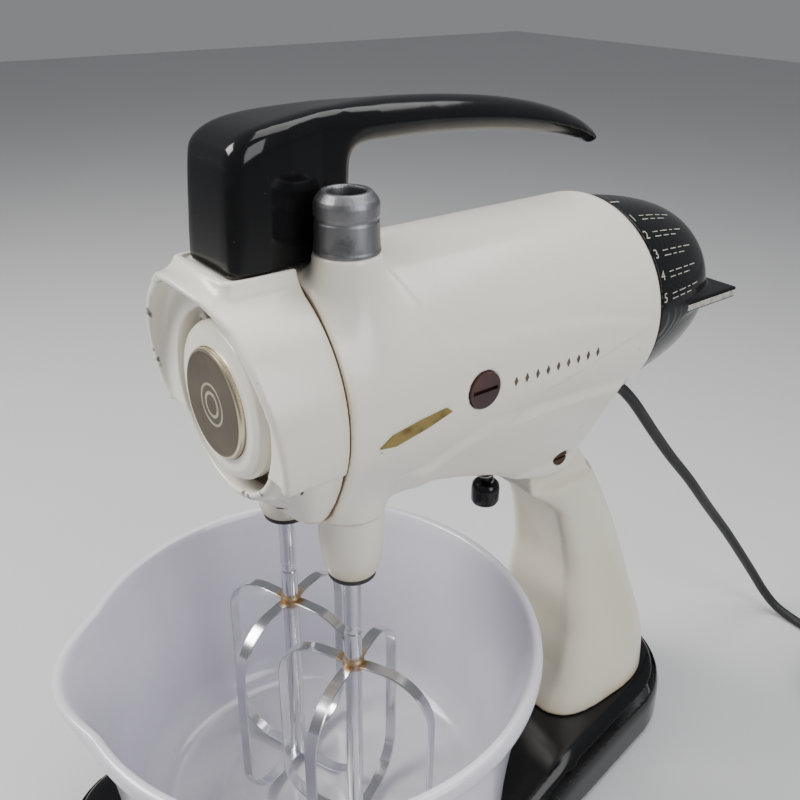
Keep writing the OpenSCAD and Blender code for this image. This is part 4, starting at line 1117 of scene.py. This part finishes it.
def make_figures():
    points = []
    faces = []
    pieces = []
    angles = (62.3, 49.6, 37.5, 25.1, 12.7)
    for i, angle in enumerate(angles):
        pieces.append(figure(str(i + 1), angle, 177.8, 7.0))
        for row, lengths in ((1.3, (4, 5.5, 3, 6)), (-1.5, (5, 3.5, 5))):
            at = 186.0
            for k, length in enumerate(lengths):
                pieces.append(dash(angle, at, length + 0.7 * ((i + k) % 3), row, 0.5))
                at += length + 2.4 + 0.7 * ((i + k) % 3)
    pieces.append(dash(79, 178.0, 7, 0, 1.0))
    for p, f in pieces:
        start = len(points)
        points += p
        faces += [[start + j for j in q] for q in f]
    obj = build("dial figures", points, faces, smooth=False)
    solid = obj.modifiers.new("body", "SOLIDIFY")
    solid.thickness = 0.00008
    solid.offset = -1
    return obj


figures = make_figures()
place(figures, "white", "dial", "glide fibre")


def bar_line(s):
    x = 49.35 * s
    return [(x, 192, HEAD - 1.6), (x, 247, HEAD - 1.6), (x, 247, HEAD + 1.6), (x, 192, HEAD + 1.6)]


edge_points = bar_line(1) + bar_line(-1)
edge = build("bar edge paint", edge_points, [(0, 1, 2, 3), (7, 6, 5, 4)], smooth=False)
edge_body = edge.modifiers.new("body", "SOLIDIFY")
edge_body.thickness = 0.0001
place(edge, "white", "dial", "glide fibre")


# ------------------------------------------------------------------ carried-over parts

CARRIED = {
    "bottom_plate": "zinc", "rubber_feet": "rubber", "plate_screws": "zinc", "pedestal_bolts": "zinc",
        "hinge_pin": "steel",
    "turntable_pivot": "steel", "turntable_glides": "fibre", "turntable": "base", "nameplate": "gilt",
        "trim_marks": "ink",
    "brush_caps": "caps", "brush_holders": "brass", "carbon_brushes": "carbon", "brush_springs": "steel",
        "stator_core": "plates",
    "field_coils": "copper", "gear_plate": "diecast", "front_bearing": "bronze", "rear_bracket": "diecast",
    "rear_bearing": "bronze", "sleeve_seals": "rubber", "hinge_screws": "aged", "speed_plate": "board",
    "capacitor": "card", "cover_screws": "zinc", "handle_pin": "steel", "motor_shaft": "steel",
        "worm": "bronze",
    "armature_core": "plates", "armature_windings": "copper", "commutator": "copper", "cooling_fan": "zinc",
    "governor_disc": "brass", "left_gear": "bronze", "left_spindle": "steel", "right_gear": "bronze",
        "right_spindle": "steel",
    "handle_bracket": "zinc", "ejector_plate": "zinc", "ejector_spring": "steel",
}
for node_name, key in CARRIED.items():
    paint(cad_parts[node_name], key)


# ------------------------------------------------------------------ floor and light

def floor_material():
    g = Graph("pale floor")
    cloud = g.noise(5, 4)
    colour = g.mix(cloud, (0.62, 0.62, 0.63), (0.66, 0.66, 0.66))
    return g.finish(Base_Color=colour, Roughness=0.55 + 0.1 * cloud)


def make_floor():
    mesh = bpy.data.meshes.new("floor")
    mesh.from_pydata([(-4, -4, 0), (4, -4, 0), (4, 4, 0), (-4, 4, 0)], [], [(0, 1, 2, 3)])
    floor = link("floor", mesh)
    mesh.materials.append(floor_material())
    return floor


def area_light(name, where, target, size, power, tint=(1, 1, 1)):
    data = bpy.data.lights.new(name, "AREA")
    data.shape = "RECTANGLE"
    data.size = size[0]
    data.size_y = size[1]
    data.energy = power
    data.color = tint
    lamp = bpy.data.objects.new(name, data)
    scene.collection.objects.link(lamp)
    lamp.location = where
    lamp.rotation_euler = (Vector(target) - Vector(where)).to_track_quat("-Z", "Y").to_euler()


def make_world():
    world = bpy.data.worlds.new("studio")
    world.use_nodes = True
    world.node_tree.nodes["Background"].inputs[0].default_value = (0.78, 0.8, 0.84, 1)
    world.node_tree.nodes["Background"].inputs[1].default_value = 0.3
    scene.world = world


make_floor()
make_world()
area_light("key", (-0.55, -0.75, 1.15), (0, 0, 0.2), (0.7, 0.5), 22, (1, 0.98, 0.95))
area_light("side", (0.95, 0.15, 0.75), (0, 0, 0.25), (0.5, 0.8), 7, (0.95, 0.97, 1))
area_light("top", (0.1, 0.35, 1.3), (0, 0, 0.25), (0.8, 0.8), 9)
